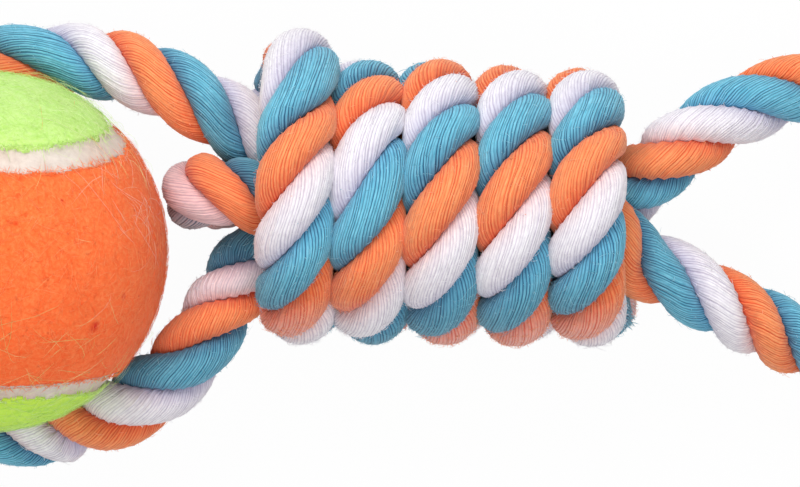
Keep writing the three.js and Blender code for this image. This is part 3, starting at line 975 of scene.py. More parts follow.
def pressed(strand, line, share):
    away = strand["skin"] - line[:, None, :]
    wide = np.abs(away[..., 0])
    over = np.maximum(wide - PRESSED_FREE, 0)
    room = PRESSED_WIDE - PRESSED_FREE
    flat = np.minimum(wide, PRESSED_FREE) + room * (1 - np.exp(-over / room))
    squeezed = away * PRESSED_HIGH
    squeezed[..., 0] = np.sign(away[..., 0]) * flat
    strand["skin"] = line[:, None, :] + away + share[:, None, None] * (squeezed - away)


winding_stations = np.arange(len(winding_line))
in_turns = np.clip((winding_stations - first_turn_at + TURNS_EASE_BEFORE) / TURNS_EASE, 0, 1)
winding_radius = STUB_FULL + (WOUND_FULL - STUB_FULL) * in_turns
tucked = [TUCKED_BY * np.exp(-(((winding_stations - place) / TUCKED_LENGTH) ** 2))
          for place in TUCKED_AT]
winding_strands = laid_strands(winding_line, across_winding, winding_lay, winding_radius,
                               WINDING_TWIST, seed=37, tucked=tucked)
for strand in winding_strands:
    pressed(strand, winding_line, in_turns)
print("stations of the turn-back:", first_turn_at, "of", len(winding_line))

# %% [markdown]
# The colour of a used toy is not even. The nose has taken on its neighbours' dye, as wet cotton does,
# mixed with painted shade and painted reflection, and is washed pale underneath. The side toward the
# bottom of the picture carries painted shade, most of all on blue, orange has faded at the very foot,
# and the orange of the cut end has gone pale. All of it is stored in the mesh, because a painted image
# would need unwrapping. The three strands become three pieces, because one mesh of all of them would
# be too heavy to handle.

# %% Wear, painted shade and pieces of the winding
# The first three numbers place painted shade on the side toward the bottom of the picture.
LOW_SIDE_LINE = 9.0
SHADE_OVER = 12
SHADE_SHARES = {"blue": 0.7, "orange": 0.6, "white": 0.1}
FADED_LINE = 17.0
FADED_OVER = 7
FADED_BY = 0.5
WASHED_LINE = 31.0
WASHED_OVER = 4
WASHED_SIDE = 2
WASHED_BY = 0.95
END_STATIONS = 14
END_OVER = 3
END_WASHED_BY = 0.9

near_end = np.clip((winding_stations - len(winding_line) + END_STATIONS) / END_OVER, 0, 1)
for strand in winding_strands:
    y, z = strand["skin"][..., 1], strand["skin"][..., 2]
    # The whole nose takes a neighbour's dye, with painted shade and painted reflection.
    strand["bleed"] += (1 - in_turns)[:, None]
    under = np.clip((WASHED_LINE - z) / WASHED_OVER, 0, 1) * (y < WASHED_SIDE)
    strand["washed"] += WASHED_BY * under * (1 - in_turns)[:, None]
    # Painted shade toward the bottom of the picture.
    low = np.clip((-LOW_SIDE_LINE - y) / SHADE_OVER, 0, 1)
    strand["grime"] += SHADE_SHARES[strand["colour"]] * low * in_turns[:, None]
    if strand["colour"] == "orange":
        strand["washed"] += END_WASHED_BY * near_end[:, None]
        lowest = np.clip((-FADED_LINE - y) / FADED_OVER, 0, 1)
        strand["washed"] += FADED_BY * lowest * in_turns[:, None]
for strand in winding_strands:
    piece = strand_piece(f"rope_winding_{strand['colour']}", [strand])
    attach(piece, "knot")
    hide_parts("winding")

# %% [markdown]
# Inside the winding three runs of rope lie side by side. Only their ends can be glimpsed, and plain
# tubes would nearly do, but a rope's end should show its strands. So they are laid in the same way,
# with fewer stations, and all three share one mesh.

# %% Rope of the core
CORE_ENDS = (-14.6, 27.4)
CORE_STEP = 2.5
CORE_SEED = 51
core_strands = []
for number, (y, z) in enumerate((BURIED_RUN, LOW_RUN, TOP_RUN)):
    core_line = smooth_line([(x, y, z) for x in np.linspace(*CORE_ENDS, 4)], CORE_STEP)
    core_across = directions_across(core_line)
    core_lay = 2 * math.pi * np.arange(len(core_line)) * CORE_STEP / LAY + number
    core_radius = np.full(len(core_line), CORE_RADIUS)
    core_strands += laid_strands(core_line, core_across, core_lay, core_radius, WINDING_TWIST,
                                 seed=CORE_SEED + 3 * number)
rope_core = strand_piece("rope_core", core_strands)
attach(rope_core, "knot")
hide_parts("buried_end", "lower_core_run", "upper_core_run")

# %% [markdown]
# The ball's cover is two dog-bone panels of felt with a pale seam of cement between them. The seam is
# one closed curve on the sphere, with a formula of its own. The panels could be cut out with a
# Boolean, but it is simpler to ask of every point how far it is from the seam, and on which side.
# In two places the seam of this used ball is pulled aside or drawn narrow.

# %% Distance from the ball's seam
SEAM_WIDTH = 5.0
SEAM_SWING = 0.18
SEAM_STEPS = 900
# Each pull has a place on the ball, a reach, a shift and a narrowing.
SEAM_PULLS = [((22.0, 21.0, 8.0), 11.0, -2.2, 0.0), ((13.0, -23.4, 17.2), 17.0, 1.4, 0.4)]
BALL_TURNS = ((5.4, "Z"), (27, "Y"), (11.4, "X"), (45, "Z"))
SEARCH_PARTS = 40


def seam_curve(t):
    a, b = 1 - SEAM_SWING, SEAM_SWING
    c = 2 * math.sqrt(a * b)
    x = a * np.cos(t) + b * np.cos(3 * t)
    y = a * np.sin(t) - b * np.sin(3 * t)
    return unit(np.stack([x, y, c * np.sin(2 * t)], axis=-1))


ball_turn = np.eye(3)
for degrees, axis in BALL_TURNS:
    ball_turn = ball_turn @ np.array(Matrix.Rotation(math.radians(degrees), 3, axis))
seam_t = np.linspace(0, 2 * math.pi, SEAM_STEPS, endpoint=False)
seam_points = seam_curve(seam_t) @ ball_turn.T
seam_along = unit(np.roll(seam_points, -1, axis=0) - np.roll(seam_points, 1, axis=0))
seam_inward = np.cross(seam_points, seam_along)


def seam_distance(directions):
    nearest = np.concatenate([np.argmax(part @ seam_points.T, axis=1)
                              for part in np.array_split(directions, SEARCH_PARTS)])
    away = np.arccos(np.clip((directions * seam_points[nearest]).sum(axis=1), -1, 1))
    side = np.sign(((directions - seam_points[nearest]) * seam_inward[nearest]).sum(axis=1))
    distance = BALL_RADIUS * away * side
    for spot, size, shift, narrow in SEAM_PULLS:
        off = BALL_RADIUS * np.linalg.norm(directions - unit(np.array(spot)), axis=1)
        near = np.exp(-((off / size) ** 2))
        distance = (distance + shift * near) * (1 + narrow * near)
    return distance


print("the orange side holds +Z:", seam_distance(np.array([[0.0, 0.0, 1.0]]))[0] > 0)

# %% [markdown]
# The cover starts as a fine ico sphere, added where the ball stands. Its faces are nearly of one size,
# which a UV sphere's are not, so felt made from it has no poles. The corners near the seam sink, so
# that the seam is a groove with a ragged edge, and the rest of them move a little in and out.

# %% The ball's sphere, with its groove
SPHERE_LEVEL = 7
SEAM_RECESS = 0.7
GROOVE_FROM = 0.3
GROOVE_OVER = 1.4
RAGGED_WAVES = 14
RAGGED_RATES = (8, 40)
RAGGED_STARTS = (0, 6.28)
RAGGED_BY = 0.2
FELT_BUMPS = 0.025
FELT_FROM = 0.2
FELT_SUNK = 0.25

bpy.ops.object.select_all(action="DESELECT")
bpy.ops.mesh.primitive_ico_sphere_add(subdivisions=SPHERE_LEVEL, radius=BALL_RADIUS * MM,
                                      location=tuple(BALL_CENTRE * MM))
sphere = bpy.context.object
bpy.ops.object.transform_apply(location=True, rotation=True, scale=True)
sphere_corners = np.zeros(3 * len(sphere.data.vertices), np.float32)
sphere.data.vertices.foreach_get("co", sphere_corners)
outward = unit(sphere_corners.reshape(-1, 3).astype(float) / MM - BALL_CENTRE)
felt_rng = np.random.default_rng(seed=5)
ragged = np.zeros(len(outward))
for _ in range(RAGGED_WAVES):
    direction = unit(felt_rng.normal(size=3)) * felt_rng.uniform(*RAGGED_RATES)
    ragged += np.sin(outward @ direction + felt_rng.uniform(*RAGGED_STARTS)) / RAGGED_WAVES**0.5
from_edge = np.abs(seam_distance(outward)) - SEAM_WIDTH / 2 + RAGGED_BY * ragged
sunk = SEAM_RECESS * (1 - np.clip((from_edge + GROOVE_FROM) / GROOVE_OVER, 0, 1)) ** 2
felt_bumps = FELT_BUMPS * felt_rng.normal(size=len(outward)) * (from_edge > FELT_FROM)
moved = BALL_CENTRE + outward * (BALL_RADIUS - sunk + felt_bumps - FELT_SUNK)[:, None]
sphere.data.vertices.foreach_set("co", (moved * MM).astype(np.float32).ravel())
print("ball sphere:", len(sphere.data.polygons), "faces")

# %% [markdown]
# A used ball has a few small red stains. Its felt is also painted paler toward the top of the picture
# than at the bottom, as painted light from above. Both could be painted on an image. Here they are
# stored in the mesh as numbers, one for each corner, so that they turn with the ball, and the felt's
# finish will read them.

# %% Stains and painted top light of the felt
# Each stain has its x and y from the ball's middle, and a size.
STAINS = [(19.6, -13.1, 1.15), (24.6, -7.9, 0.6), (6.0, 5.0, 0.4), (14.0, 9.0, 0.35)]
STAIN_PATCHES = (0.7, 1)
stained = np.zeros(len(outward))
for x, y, size in STAINS:
    spot = np.array([x, y, math.sqrt(BALL_RADIUS**2 - x * x - y * y)])
    from_spot = np.linalg.norm(outward * BALL_RADIUS - spot, axis=1)
    patchy = felt_rng.uniform(*STAIN_PATCHES, len(from_spot))
    stained = np.maximum(stained, np.exp(-((from_spot / size) ** 2)) * patchy)
painted_top_light = 0.5 + 0.5 * outward[:, 1]
for title, values in (("stain", stained), ("painted_top_light", painted_top_light)):
    felt_layer = sphere.data.attributes.new(title, "FLOAT", "POINT")
    felt_layer.data.foreach_set("value", values.astype(np.float32))
sphere.data.update()
print("stained corners:", int((stained > 0.5).sum()))

# %% [markdown]
# The panels are parted from the sphere by face: faces are selected in code and separated, as with P
# in edit mode. A cut along the seam would be sharper, but felt has no sharp edge, so the distance from
# the seam gets a fine waver before it decides on a face.

# %% Faces, parted by their side of the seam
WAVER_WAVES = 10
WAVER_RATES = (30, 90)
WAVER_BY = 0.11


def part_by_side(piece, name, wanted):
    bpy.ops.object.select_all(action="DESELECT")
    piece.select_set(True)
    bpy.context.view_layer.objects.active = piece
    bpy.context.tool_settings.mesh_select_mode = (False, False, True)
    bpy.ops.object.mode_set(mode="EDIT")
    bpy.ops.mesh.select_all(action="DESELECT")
    bpy.ops.object.mode_set(mode="OBJECT")
    piece.data.polygons.foreach_set("select", wanted)
    bpy.ops.object.mode_set(mode="EDIT")
    bpy.ops.mesh.separate(type="SELECTED")
    bpy.ops.object.mode_set(mode="OBJECT")
    parted = next(o for o in bpy.context.selected_objects if o is not piece)
    parted.name = name
    return parted


def face_sides(piece):
    corners = np.zeros(3 * len(piece.data.vertices), np.float32)
    piece.data.vertices.foreach_get("co", corners)
    directions = unit(corners.reshape(-1, 3).astype(float) / MM - BALL_CENTRE)
    triangles = np.zeros(3 * len(piece.data.polygons), np.int32)
    piece.data.polygons.foreach_get("vertices", triangles)
    middle = unit(directions[triangles.reshape(-1, 3)].mean(axis=1))
    waver = np.zeros(len(middle))
    side_rng = np.random.default_rng(seed=9)
    for _ in range(WAVER_WAVES):
        waver += np.sin(middle @ (unit(side_rng.normal(size=3)) * side_rng.uniform(*WAVER_RATES)))
    return seam_distance(middle) + WAVER_BY * waver


print("waves in the felt's edge:", WAVER_WAVES)

# %% [markdown]
# The orange panel is parted first, then the lime one, and what is left is the seam. Felt has a
# thickness, and a sphere's faces have none. Extruding inward would do, and a Solidify modifier does the
# same to each piece in one step.

# %% Felt panels and seam
FELT_THICKNESS = 2.75

felt_orange = part_by_side(sphere, "felt_orange", face_sides(sphere) > SEAM_WIDTH / 2)
felt_lime = part_by_side(sphere, "felt_lime", face_sides(sphere) < -SEAM_WIDTH / 2)
seam_band = sphere
seam_band.name = "seam_cement"
for piece, node, slot in ((felt_orange, "felt_panel_orange", "felt_orange"),
                          (felt_lime, "felt_panel_lime", "felt_lime"),
                          (seam_band, "seam_band", "seam")):
    bpy.ops.object.select_all(action="DESELECT")
    piece.select_set(True)
    bpy.context.view_layer.objects.active = piece
    thick = piece.modifiers.new("thickness", "SOLIDIFY")
    thick.thickness = FELT_THICKNESS * MM
    thick.offset = -1
    bpy.ops.object.modifier_apply(modifier=thick.name)
    bpy.ops.object.shade_smooth()
    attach(piece, "ball")
    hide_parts(node)
    print(piece.name, len(piece.data.polygons), "faces")

# %% [markdown]
# Felt is a mat of short fibres that point every way. The finish mixes clouds of lighter and deeper
# dye with a fine grain, small dark specks of dirt, the stains, and painted light that makes it paler
# toward the top of the picture. A scan of felt would need a UV map. Noise on Object coordinates needs
# none, and it turns with the ball.

# %% Finish of the felt
STAIN_RED = (0.70, 0.16, 0.20)


def wear(piece, material):
    piece.data.materials.clear()
    piece.data.materials.append(material)


def felt_finish(name, deep, middle, pale, speck, low, high):
    material, tree, shader = new_material(name)
    place = tree.nodes.new("ShaderNodeTexCoord").outputs["Object"]
    grain = noise_node(tree, place, scale=1500, detail=5, roughness=0.75)
    cloud = noise_node(tree, place, scale=130, detail=3)
    dirt = noise_node(tree, place, scale=620, detail=2, roughness=0.5)
    fibres = ramp_node(tree, [(0.30, deep), (0.5, middle), (0.70, pale)], grain)
    clouds = ramp_node(tree, [(0.30, (0.95, 0.91, 0.90)), (0.65, CLEAN)], cloud)
    specks = ramp_node(tree, [(0.24, speck), (0.33, CLEAN)], dirt)
    stains = ramp_node(tree, [(0.15, CLEAN), (0.8, STAIN_RED)], attribute_node(tree, "stain"))
    felt = multiplied(tree, multiplied(tree, fibres, clouds), specks)
    # Painted light: the felt is paler toward the top of the picture, where the top lamp is, and deeper
    # toward the bottom.
    painted_light_ramp = ramp_node(tree, [(0.1, low), (0.9, high)], attribute_node(tree, "painted_top_light"))
    colour = multiplied(tree, multiplied(tree, felt, stains), painted_light_ramp)
    tree.links.new(colour, shader.inputs["Base Color"])
    bump = bumped(tree, grain, strength=0.3, distance=0.0005)
    tree.links.new(bump, shader.inputs["Normal"])
    shader.inputs["Roughness"].default_value = 1.0
    shader.inputs["Specular IOR Level"].default_value = 0.05
    shader.inputs["Sheen Weight"].default_value = 0.1
    shader.inputs["Sheen Roughness"].default_value = 0.6
    return material


# low and high are the tints of the painted light at the bottom and the top of the ball.
orange_felt = felt_finish("orange_felt", deep=(0.97, 0.14, 0.027), middle=(1.0, 0.20, 0.048),
                          pale=(1.0, 0.30, 0.095), speck=(0.8, 0.6, 0.55),
                          low=(1.0, 0.88, 0.92), high=(0.97, 1.0, 1.0))
lime_felt = felt_finish("lime_felt", deep=(0.53, 0.85, 0.16), middle=(0.61, 0.91, 0.26),
                        pale=(0.70, 0.95, 0.36), speck=(0.75, 0.85, 0.6),
                        low=(0.98, 1.0, 0.34), high=(0.89, 0.88, 0.96))
wear(felt_orange, orange_felt)
wear(felt_lime, lime_felt)
print("felt finishes:", orange_felt.name, lime_felt.name)

# %% [markdown]
# The seam is a pale, slightly rough cement with soft blotches. The ball's two rubber cups are inside
# the felt. They are right as the construction model has them, so those objects stay, and only their
# finish is changed: a dark rubber with a faint bloom.

# %% Finish of the seam and the rubber
def pale_cement():
    material, tree, shader = new_material("pale_cement")
    place = tree.nodes.new("ShaderNodeTexCoord").outputs["Object"]
    grain = noise_node(tree, place, scale=700, detail=4, roughness=0.7)
    blotch = noise_node(tree, place, scale=90, detail=2)
    body = ramp_node(tree, [(0.3, (0.66, 0.57, 0.51)), (0.7, (0.79, 0.71, 0.64))], grain)
    blotches = ramp_node(tree, [(0.35, (0.95, 0.86, 0.82)), (0.6, CLEAN)], blotch)
    tree.links.new(multiplied(tree, body, blotches), shader.inputs["Base Color"])
    bump = bumped(tree, grain, strength=0.6, distance=0.0004)
    tree.links.new(bump, shader.inputs["Normal"])
    shader.inputs["Roughness"].default_value = 0.85
    shader.inputs["Specular IOR Level"].default_value = 0.2
    return material


def dark_rubber():
    material, tree, shader = new_material("dark_rubber")
    place = tree.nodes.new("ShaderNodeTexCoord").outputs["Object"]
    bloom = noise_node(tree, place, scale=160, detail=4)
    body = ramp_node(tree, [(0.3, (0.025, 0.025, 0.028)), (0.7, (0.06, 0.06, 0.065))], bloom)
    tree.links.new(body, shader.inputs["Base Color"])
    bump = bumped(tree, bloom, strength=0.2, distance=0.0003)
    tree.links.new(bump, shader.inputs["Normal"])
    shader.inputs["Roughness"].default_value = 0.7
    return material


wear(seam_band, pale_cement())
rubber = dark_rubber()
for cup in ("rubber_cup_upper", "rubber_cup_lower"):
    wear(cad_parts[cup], rubber)
print("seam and rubber finishes set")

# %% [markdown]
# Fibres that stand off the surface give felt and cotton their soft edge. Hair particles could grow
# them, but they would not be part of the mesh. So each fibre is a tiny spindle: a point at
# both ends and three rings of three corners between them, eighteen triangles in all. The faces of one
# spindle are a pattern that every fibre repeats.

# %% The spindle of one fibre
PATH_POINTS = 5
FIBRE_SIDES = 3
RING_STARTS = (1, 4, 7)
FIBRE_CORNERS = 11


def spindle_faces():
    first_ring, last_ring = RING_STARTS[0], RING_STARTS[-1]
    tip = FIBRE_CORNERS - 1
    faces = []
    for a in range(FIBRE_SIDES):
        b = (a + 1) % FIBRE_SIDES
        faces += [(0, first_ring + b, first_ring + a), (tip, last_ring + a, last_ring + b)]
        for ring, onto in zip(RING_STARTS, RING_STARTS[1:]):
            faces += [(ring + a, ring + b, onto + b), (ring + a, onto + b, onto + a)]
    return np.array(faces)


print("triangles in one fibre:", len(spindle_faces()))

# %% [markdown]
# One function turns a list of five-point paths into such spindles, all in one mesh. Thousands of
# separate objects would look the same, but they would slow Blender down. A stored tone makes some
# fibres paler than others, and their finish reads it.

# %% Fibres from paths
FIBRE_SIDE = (0.36, 0.48, 0.8)


def fibre_piece(name, paths, thickness, materials, which, tones):
    count = len(paths)
    along = unit(np.gradient(paths, axis=1))[:, 1:4]
    side = unit(np.cross(along, np.array(FIBRE_SIDE)))
    other = np.cross(along, side)
    rings = []
    for turn in range(FIBRE_SIDES):
        angle = 2 * math.pi * turn / FIBRE_SIDES
        swing = math.cos(angle) * side + math.sin(angle) * other
        rings.append(paths[:, 1:4] + thickness[:, None, None] * swing)
    rings = np.stack(rings, axis=2).reshape(count, FIBRE_CORNERS - 2, 3)
    corners = np.concatenate([paths[:, :1], rings, paths[:, 4:]], axis=1)
    pattern = spindle_faces()
    firsts = FIBRE_CORNERS * np.arange(count)[:, None, None]
    faces = (pattern[None] + firsts).reshape(-1, 3)
    mesh = bpy.data.meshes.new(name)
    mesh.from_pydata((corners.reshape(-1, 3) * MM).tolist(), [], faces.tolist())
    for material in materials:
        mesh.materials.append(material)
    mesh.polygons.foreach_set("material_index", np.repeat(which, len(pattern)).astype(np.int32))
    mesh.polygons.foreach_set("use_smooth", [True] * len(faces))
    layer = mesh.attributes.new("tone", "FLOAT", "POINT")
    layer.data.foreach_set("value", np.repeat(tones, FIBRE_CORNERS).astype(np.float32))
    mesh.update()
    piece = bpy.data.objects.new(name, mesh)
    bpy.context.scene.collection.objects.link(piece)
    print(name, "has", count, "fibres")
    return piece


def fibre_finish(name, deep, pale):
    material, tree, shader = new_material(name)
    colour = ramp_node(tree, [(0.0, deep), (1.0, pale)], attribute_node(tree, "tone"))
    tree.links.new(colour, shader.inputs["Base Color"])
    shader.inputs["Roughness"].default_value = 0.9
    shader.inputs["Specular IOR Level"].default_value = 0.1
    return material


orange_fibre = fibre_finish("orange_felt_fibre", (0.98, 0.15, 0.03), (1.0, 0.44, 0.20))
lime_fibre = fibre_finish("lime_felt_fibre", (0.56, 0.88, 0.20), (0.84, 0.99, 0.50))
print("fibre finishes of the felt:", orange_fibre.name, lime_fibre.name)

# %% [markdown]
# The felt's nap is thousands of short, curled fibres that lie close to the panel. A path starts just
# under the felt, rises out of it, runs along the ball in a bend of its own, and sinks again. Straight
# hairs would be simpler, but they would make the ball look like a brush.

# %% Paths of the nap
NAP_LENGTHS = (0.5, 1.3)
NAP_HEIGHTS = (0.2, 1.0)
NAP_ROOT = 0.3
ARCH_FROM = 0.1
ARCH_SPAN = 0.75
ABOVE_TABLE = 0.1


def nap_paths(normal, rng, length, lift, curl):
    count = len(normal)
    side = unit(np.cross(normal, unit(rng.normal(size=(count, 3)))))
    across = np.cross(normal, side)
    long = length * rng.uniform(*NAP_LENGTHS, count)
    bend = curl * rng.normal(size=count)
    high = lift * rng.uniform(*NAP_HEIGHTS, count)
    points = []
    for share in np.linspace(0, 1, PATH_POINTS):
        forward = long * share
        sideways = bend * long * share * share
        height = -NAP_ROOT + high * math.sin(math.pi * (ARCH_FROM + ARCH_SPAN * share))
        shift = forward[:, None] * side + sideways[:, None] * across
        sphere_point = unit(normal * BALL_RADIUS + shift)
        points.append(BALL_CENTRE + sphere_point * (BALL_RADIUS + height)[:, None])
    paths = np.stack(points, axis=1)
    paths[..., 2] = np.maximum(paths[..., 2], ABOVE_TABLE)
    return paths


print("points in a path of the nap:", PATH_POINTS)

# %% [markdown]
# Roots are tried at random all over the sphere and kept where they lie on the right panel, which is
# simpler than walking over its faces and spreads them just as evenly. More fibres, thicker and
# shorter, crowd along the cut edges, where they fray over the seam.

# %% Nap of the felt
NAP_COUNT = 7200
EDGE_COUNT = 3000
# A shape is a length, a lift and a curl.
NAP_SHAPE = (2.2, 0.5, 0.9)
EDGE_SHAPE = (0.55, 0.2, 2.0)
NAP_THICKNESS = (0.015, 0.028)
EDGE_THICKNESS = (0.03, 0.055)
NAP_FROM_SEAM = SEAM_WIDTH / 2 + 1.4
EDGE_INSIDE = 0.2
EDGE_SPREAD = 0.5
TONE_POWER = 1.5
nap_rng = np.random.default_rng(seed=71)


def scattered(rng, count, keep):
    kept = np.zeros((0, 3))
    while len(kept) < count:
        tried = unit(rng.normal(size=(2 * count, 3)))
        kept = np.vstack([kept, tried[keep(seam_distance(tried))]])
    return kept[:count]


for name, slot, fibre, side in (("nap_orange", "felt_orange", orange_fibre, 1),
                                ("nap_lime", "felt_lime", lime_fibre, -1)):
    inner = scattered(nap_rng, NAP_COUNT, lambda d: side * d > NAP_FROM_SEAM)
    rim = scattered(nap_rng, EDGE_COUNT,
                    lambda d: abs(side * d - SEAM_WIDTH / 2 - EDGE_INSIDE) < EDGE_SPREAD)
    paths = np.concatenate([nap_paths(inner, nap_rng, *NAP_SHAPE),
                            nap_paths(rim, nap_rng, *EDGE_SHAPE)])
    thickness = np.concatenate([nap_rng.uniform(*NAP_THICKNESS, NAP_COUNT),
                                nap_rng.uniform(*EDGE_THICKNESS, EDGE_COUNT)])
    nap = fibre_piece(name, paths, thickness, [fibre], np.zeros(len(paths)),
                      nap_rng.uniform(0, 1, len(paths)) ** TONE_POWER)
    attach(nap, "ball")

# %% [markdown]
# Here and there long fibres have been pulled out of the felt and lie in loose curls on it, pale ones
# where the dye has worn off. They could be drawn one by one, but the nap's own paths will do, longer
# and higher, scattered round a few places where the ball is most worn.

# %% Long stray fibres on the ball
STRAY_CURL = 2.2
STRAY_THICKNESS = (0.014, 0.024)
STRAY_TONES = (0.3, 1)
pale_fibre = fibre_finish("pale_felt_fibre", (0.95, 0.50, 0.30), (0.95, 0.84, 0.72))
# Each tuft has a name, a finish, a slot, a middle, a spread, a count, a length and a lift.
STRAYS = [
    ("stray_pale", pale_fibre, "felt_orange", (25.8, 10.9, 14.9), 0.20, 60, 5.0, 1.0),
    ("stray_orange", orange_fibre, "felt_orange", (20.0, -6.0, 24.0), 0.60, 50, 2.4, 0.7),
    ("stray_lime", lime_fibre, "felt_lime", (14.0, 27.0, 8.0), 0.25, 120, 5.0, 1.6),
    ("stray_lime_low", lime_fibre, "felt_lime", (12.0, -27.0, 11.0), 0.30, 120, 4.0, 1.2),
]
for name, fibre, slot, middle, spread, count, length, lift in STRAYS:
    roots = unit(unit(np.array(middle)) + spread * nap_rng.normal(size=(count, 3)))
    stray = fibre_piece(name, nap_paths(roots, nap_rng, length, lift, STRAY_CURL),
                        nap_rng.uniform(*STRAY_THICKNESS, count), [fibre], np.zeros(count),
                        nap_rng.uniform(*STRAY_TONES, count))
    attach(stray, "ball")

# %% [markdown]
# Cotton sheds too. Loose fibres stand off the outer skin of every strand, most of them short and
# upright, a few long ones lying flat. Combed hair could make them, but the skin's grid already has the
# directions: along the yarn, across it, and out from it. So each fibre starts at a random corner and
# leans by the directions there.

# %% Paths of loose cotton fibres
LYING_SHARE = 0.18
LYING_LENGTH = (0.8, 2.2)
LYING_HEIGHT = (0.08, 0.3)
STANDING_LENGTH = (0.3, 0.8)
STANDING_HEIGHT = (0.4, 0.9)
LYING_ARCH = 0.9
STANDING_REACH = 0.5
FUZZ_LEAN = 1.5
FUZZ_BEND = 0.5
FUZZ_ROOT = 0.05


def fuzz_paths(strand, rng, count, keep):
    skin = strand["skin"]
    forward = unit(np.gradient(skin, axis=0))
    beside = unit(np.roll(skin, -2, axis=1) - np.roll(skin, 2, axis=1))
    outward_at = unit(np.cross(beside, forward))
    rows, columns = np.nonzero(keep(strand))
    picked = rng.integers(0, len(rows), count)
    rows, columns = rows[picked], columns[picked]
    root = skin[rows, columns]
    along, across, out = (d[rows, columns] for d in (forward, beside, outward_at))
    lying = rng.uniform(0, 1, count) < LYING_SHARE
    long = np.where(lying, rng.uniform(*LYING_LENGTH, count), rng.uniform(*STANDING_LENGTH, count))
    high = np.where(lying, rng.uniform(*LYING_HEIGHT, count),
                    long * rng.uniform(*STANDING_HEIGHT, count))
    lean = rng.uniform(-FUZZ_LEAN, FUZZ_LEAN, count)
    heading = np.cos(lean)[:, None] * along + np.sin(lean)[:, None] * across
    heading *= np.sign(rng.normal(size=count))[:, None]
    sideways = np.cross(out, heading)
    bend = rng.normal(scale=FUZZ_BEND, size=count)
    points = []
    for share in np.linspace(0, 1, PATH_POINTS):
        rise = high * np.where(lying, math.sin(LYING_ARCH * math.pi * share), share) - FUZZ_ROOT
        shift = (long * share)[:, None] * heading + (bend * long * share**2)[:, None] * sideways
        shift = shift * np.where(lying, 1, STANDING_REACH)[:, None]
        points.append(root + shift + rise[:, None] * out)
    paths = np.stack(points, axis=1)
    paths[..., 2] = np.maximum(paths[..., 2], ABOVE_TABLE)
    return paths


print("share of fibres that lie flat:", LYING_SHARE)

# %% [markdown]
# Every stretch of rope gets its own fuzz, in the colours of its strands, only where the skin is well
# away from the rope's middle. On the winding it also has to be on the outside of the turns, and the
# side toward the bottom of the picture is fluffier than the rest.

# %% Fuzz of the rope
OUTER_DEPTH = 0.75
OUTSIDE_BY = 1
FUZZ_THICKNESS = (0.020, 0.038)
LOOP_FUZZ = 2200
WINDING_FUZZ = 4200
LOW_FUZZ = 1800

cotton_fibre = {
    "blue": fibre_finish("cotton_fibre_blue", (0.08, 0.38, 0.52), (0.48, 0.74, 0.85)),
    "orange": fibre_finish("cotton_fibre_orange", (0.95, 0.24, 0.08), (1.0, 0.56, 0.36)),
    "white": fibre_finish("cotton_fibre_white", (0.84, 0.80, 0.85), (0.97, 0.95, 0.98)),
}


def fuzz_piece(name, strands, count, keep, seed):
    rng = np.random.default_rng(seed)
    paths = np.concatenate([fuzz_paths(s, rng, count, keep) for s in strands])
    which = np.concatenate([np.full(count, i) for i in range(len(strands))])
    materials = [cotton_fibre[s["colour"]] for s in strands]
    piece = fibre_piece(name, paths, rng.uniform(*FUZZ_THICKNESS, len(paths)), materials, which,
                        rng.uniform(0, 1, len(paths)))
    return piece


def outer_skin(strand):
    return strand["depth"] > OUTER_DEPTH


def outside_winding(strand):
    from_axis = np.hypot(strand["skin"][..., 1], strand["skin"][..., 2] - AXIS_Z)
    return outer_skin(strand) & (from_axis > WINDING_RADIUS + OUTSIDE_BY)


def bottom_of_winding(strand):
    return outside_winding(strand) & (strand["skin"][..., 1] < -LOW_SIDE_LINE)


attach(fuzz_piece("fuzz_ball_loop", ball_loop_strands, LOOP_FUZZ, outer_skin, seed=81), "knot")
for number, strand in enumerate(winding_strands):
    name = f"fuzz_winding_{strand['colour']}"
    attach(fuzz_piece(name, [strand], WINDING_FUZZ, outside_winding, seed=83 + number), "knot")
    name = f"fuzz_low_{strand['colour']}"
    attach(fuzz_piece(name, [strand], LOW_FUZZ, bottom_of_winding, seed=103 + number), "knot")
fuzz_handle = fuzz_piece("fuzz_handle", handle_strands, LOOP_FUZZ, outer_skin, seed=91)
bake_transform(fuzz_handle)

# %% [markdown]
# A little lint of blue and orange has been caught on the white strand of the winding. Specks in the
# finish would look printed, so it is the same kind of fibre, shortened and thickened to crumbs, and
# only on the side that faces up.

# %% Lint caught on the winding
LINT_COUNT = 20
LINT_LENGTH = 0.5
LINT_THICKNESS = (0.04, 0.07)
LINT_TONES = (0, 0.3)
LINT_HEIGHT = AXIS_Z + 10
lint_rng = np.random.default_rng(seed=95)


def front_of_winding(strand):
    return outside_winding(strand) & (strand["skin"][..., 2] > LINT_HEIGHT)


white_strand = next(s for s in winding_strands if s["colour"] == "white")
lint_paths = fuzz_paths(white_strand, lint_rng, LINT_COUNT, front_of_winding)
lint_paths = lint_paths[:, :1] + LINT_LENGTH * (lint_paths - lint_paths[:, :1])
lint = fibre_piece("lint_winding", lint_paths, lint_rng.uniform(*LINT_THICKNESS, LINT_COUNT),
                   [cotton_fibre["blue"], cotton_fibre["orange"]],
                   lint_rng.integers(0, 2, LINT_COUNT), lint_rng.uniform(*LINT_TONES, LINT_COUNT))
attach(lint, "knot")

# %% [markdown]
# The rope's other end comes out from under the last turn and is only cut, not bound, so its yarns
# have sprung apart. The strands' own meshes are closed and can't part like this, so each loose yarn is
# a spindle like the fibres, but thicker. They fan out from where the end stops, most of them white,
# with a small tuft of blue.

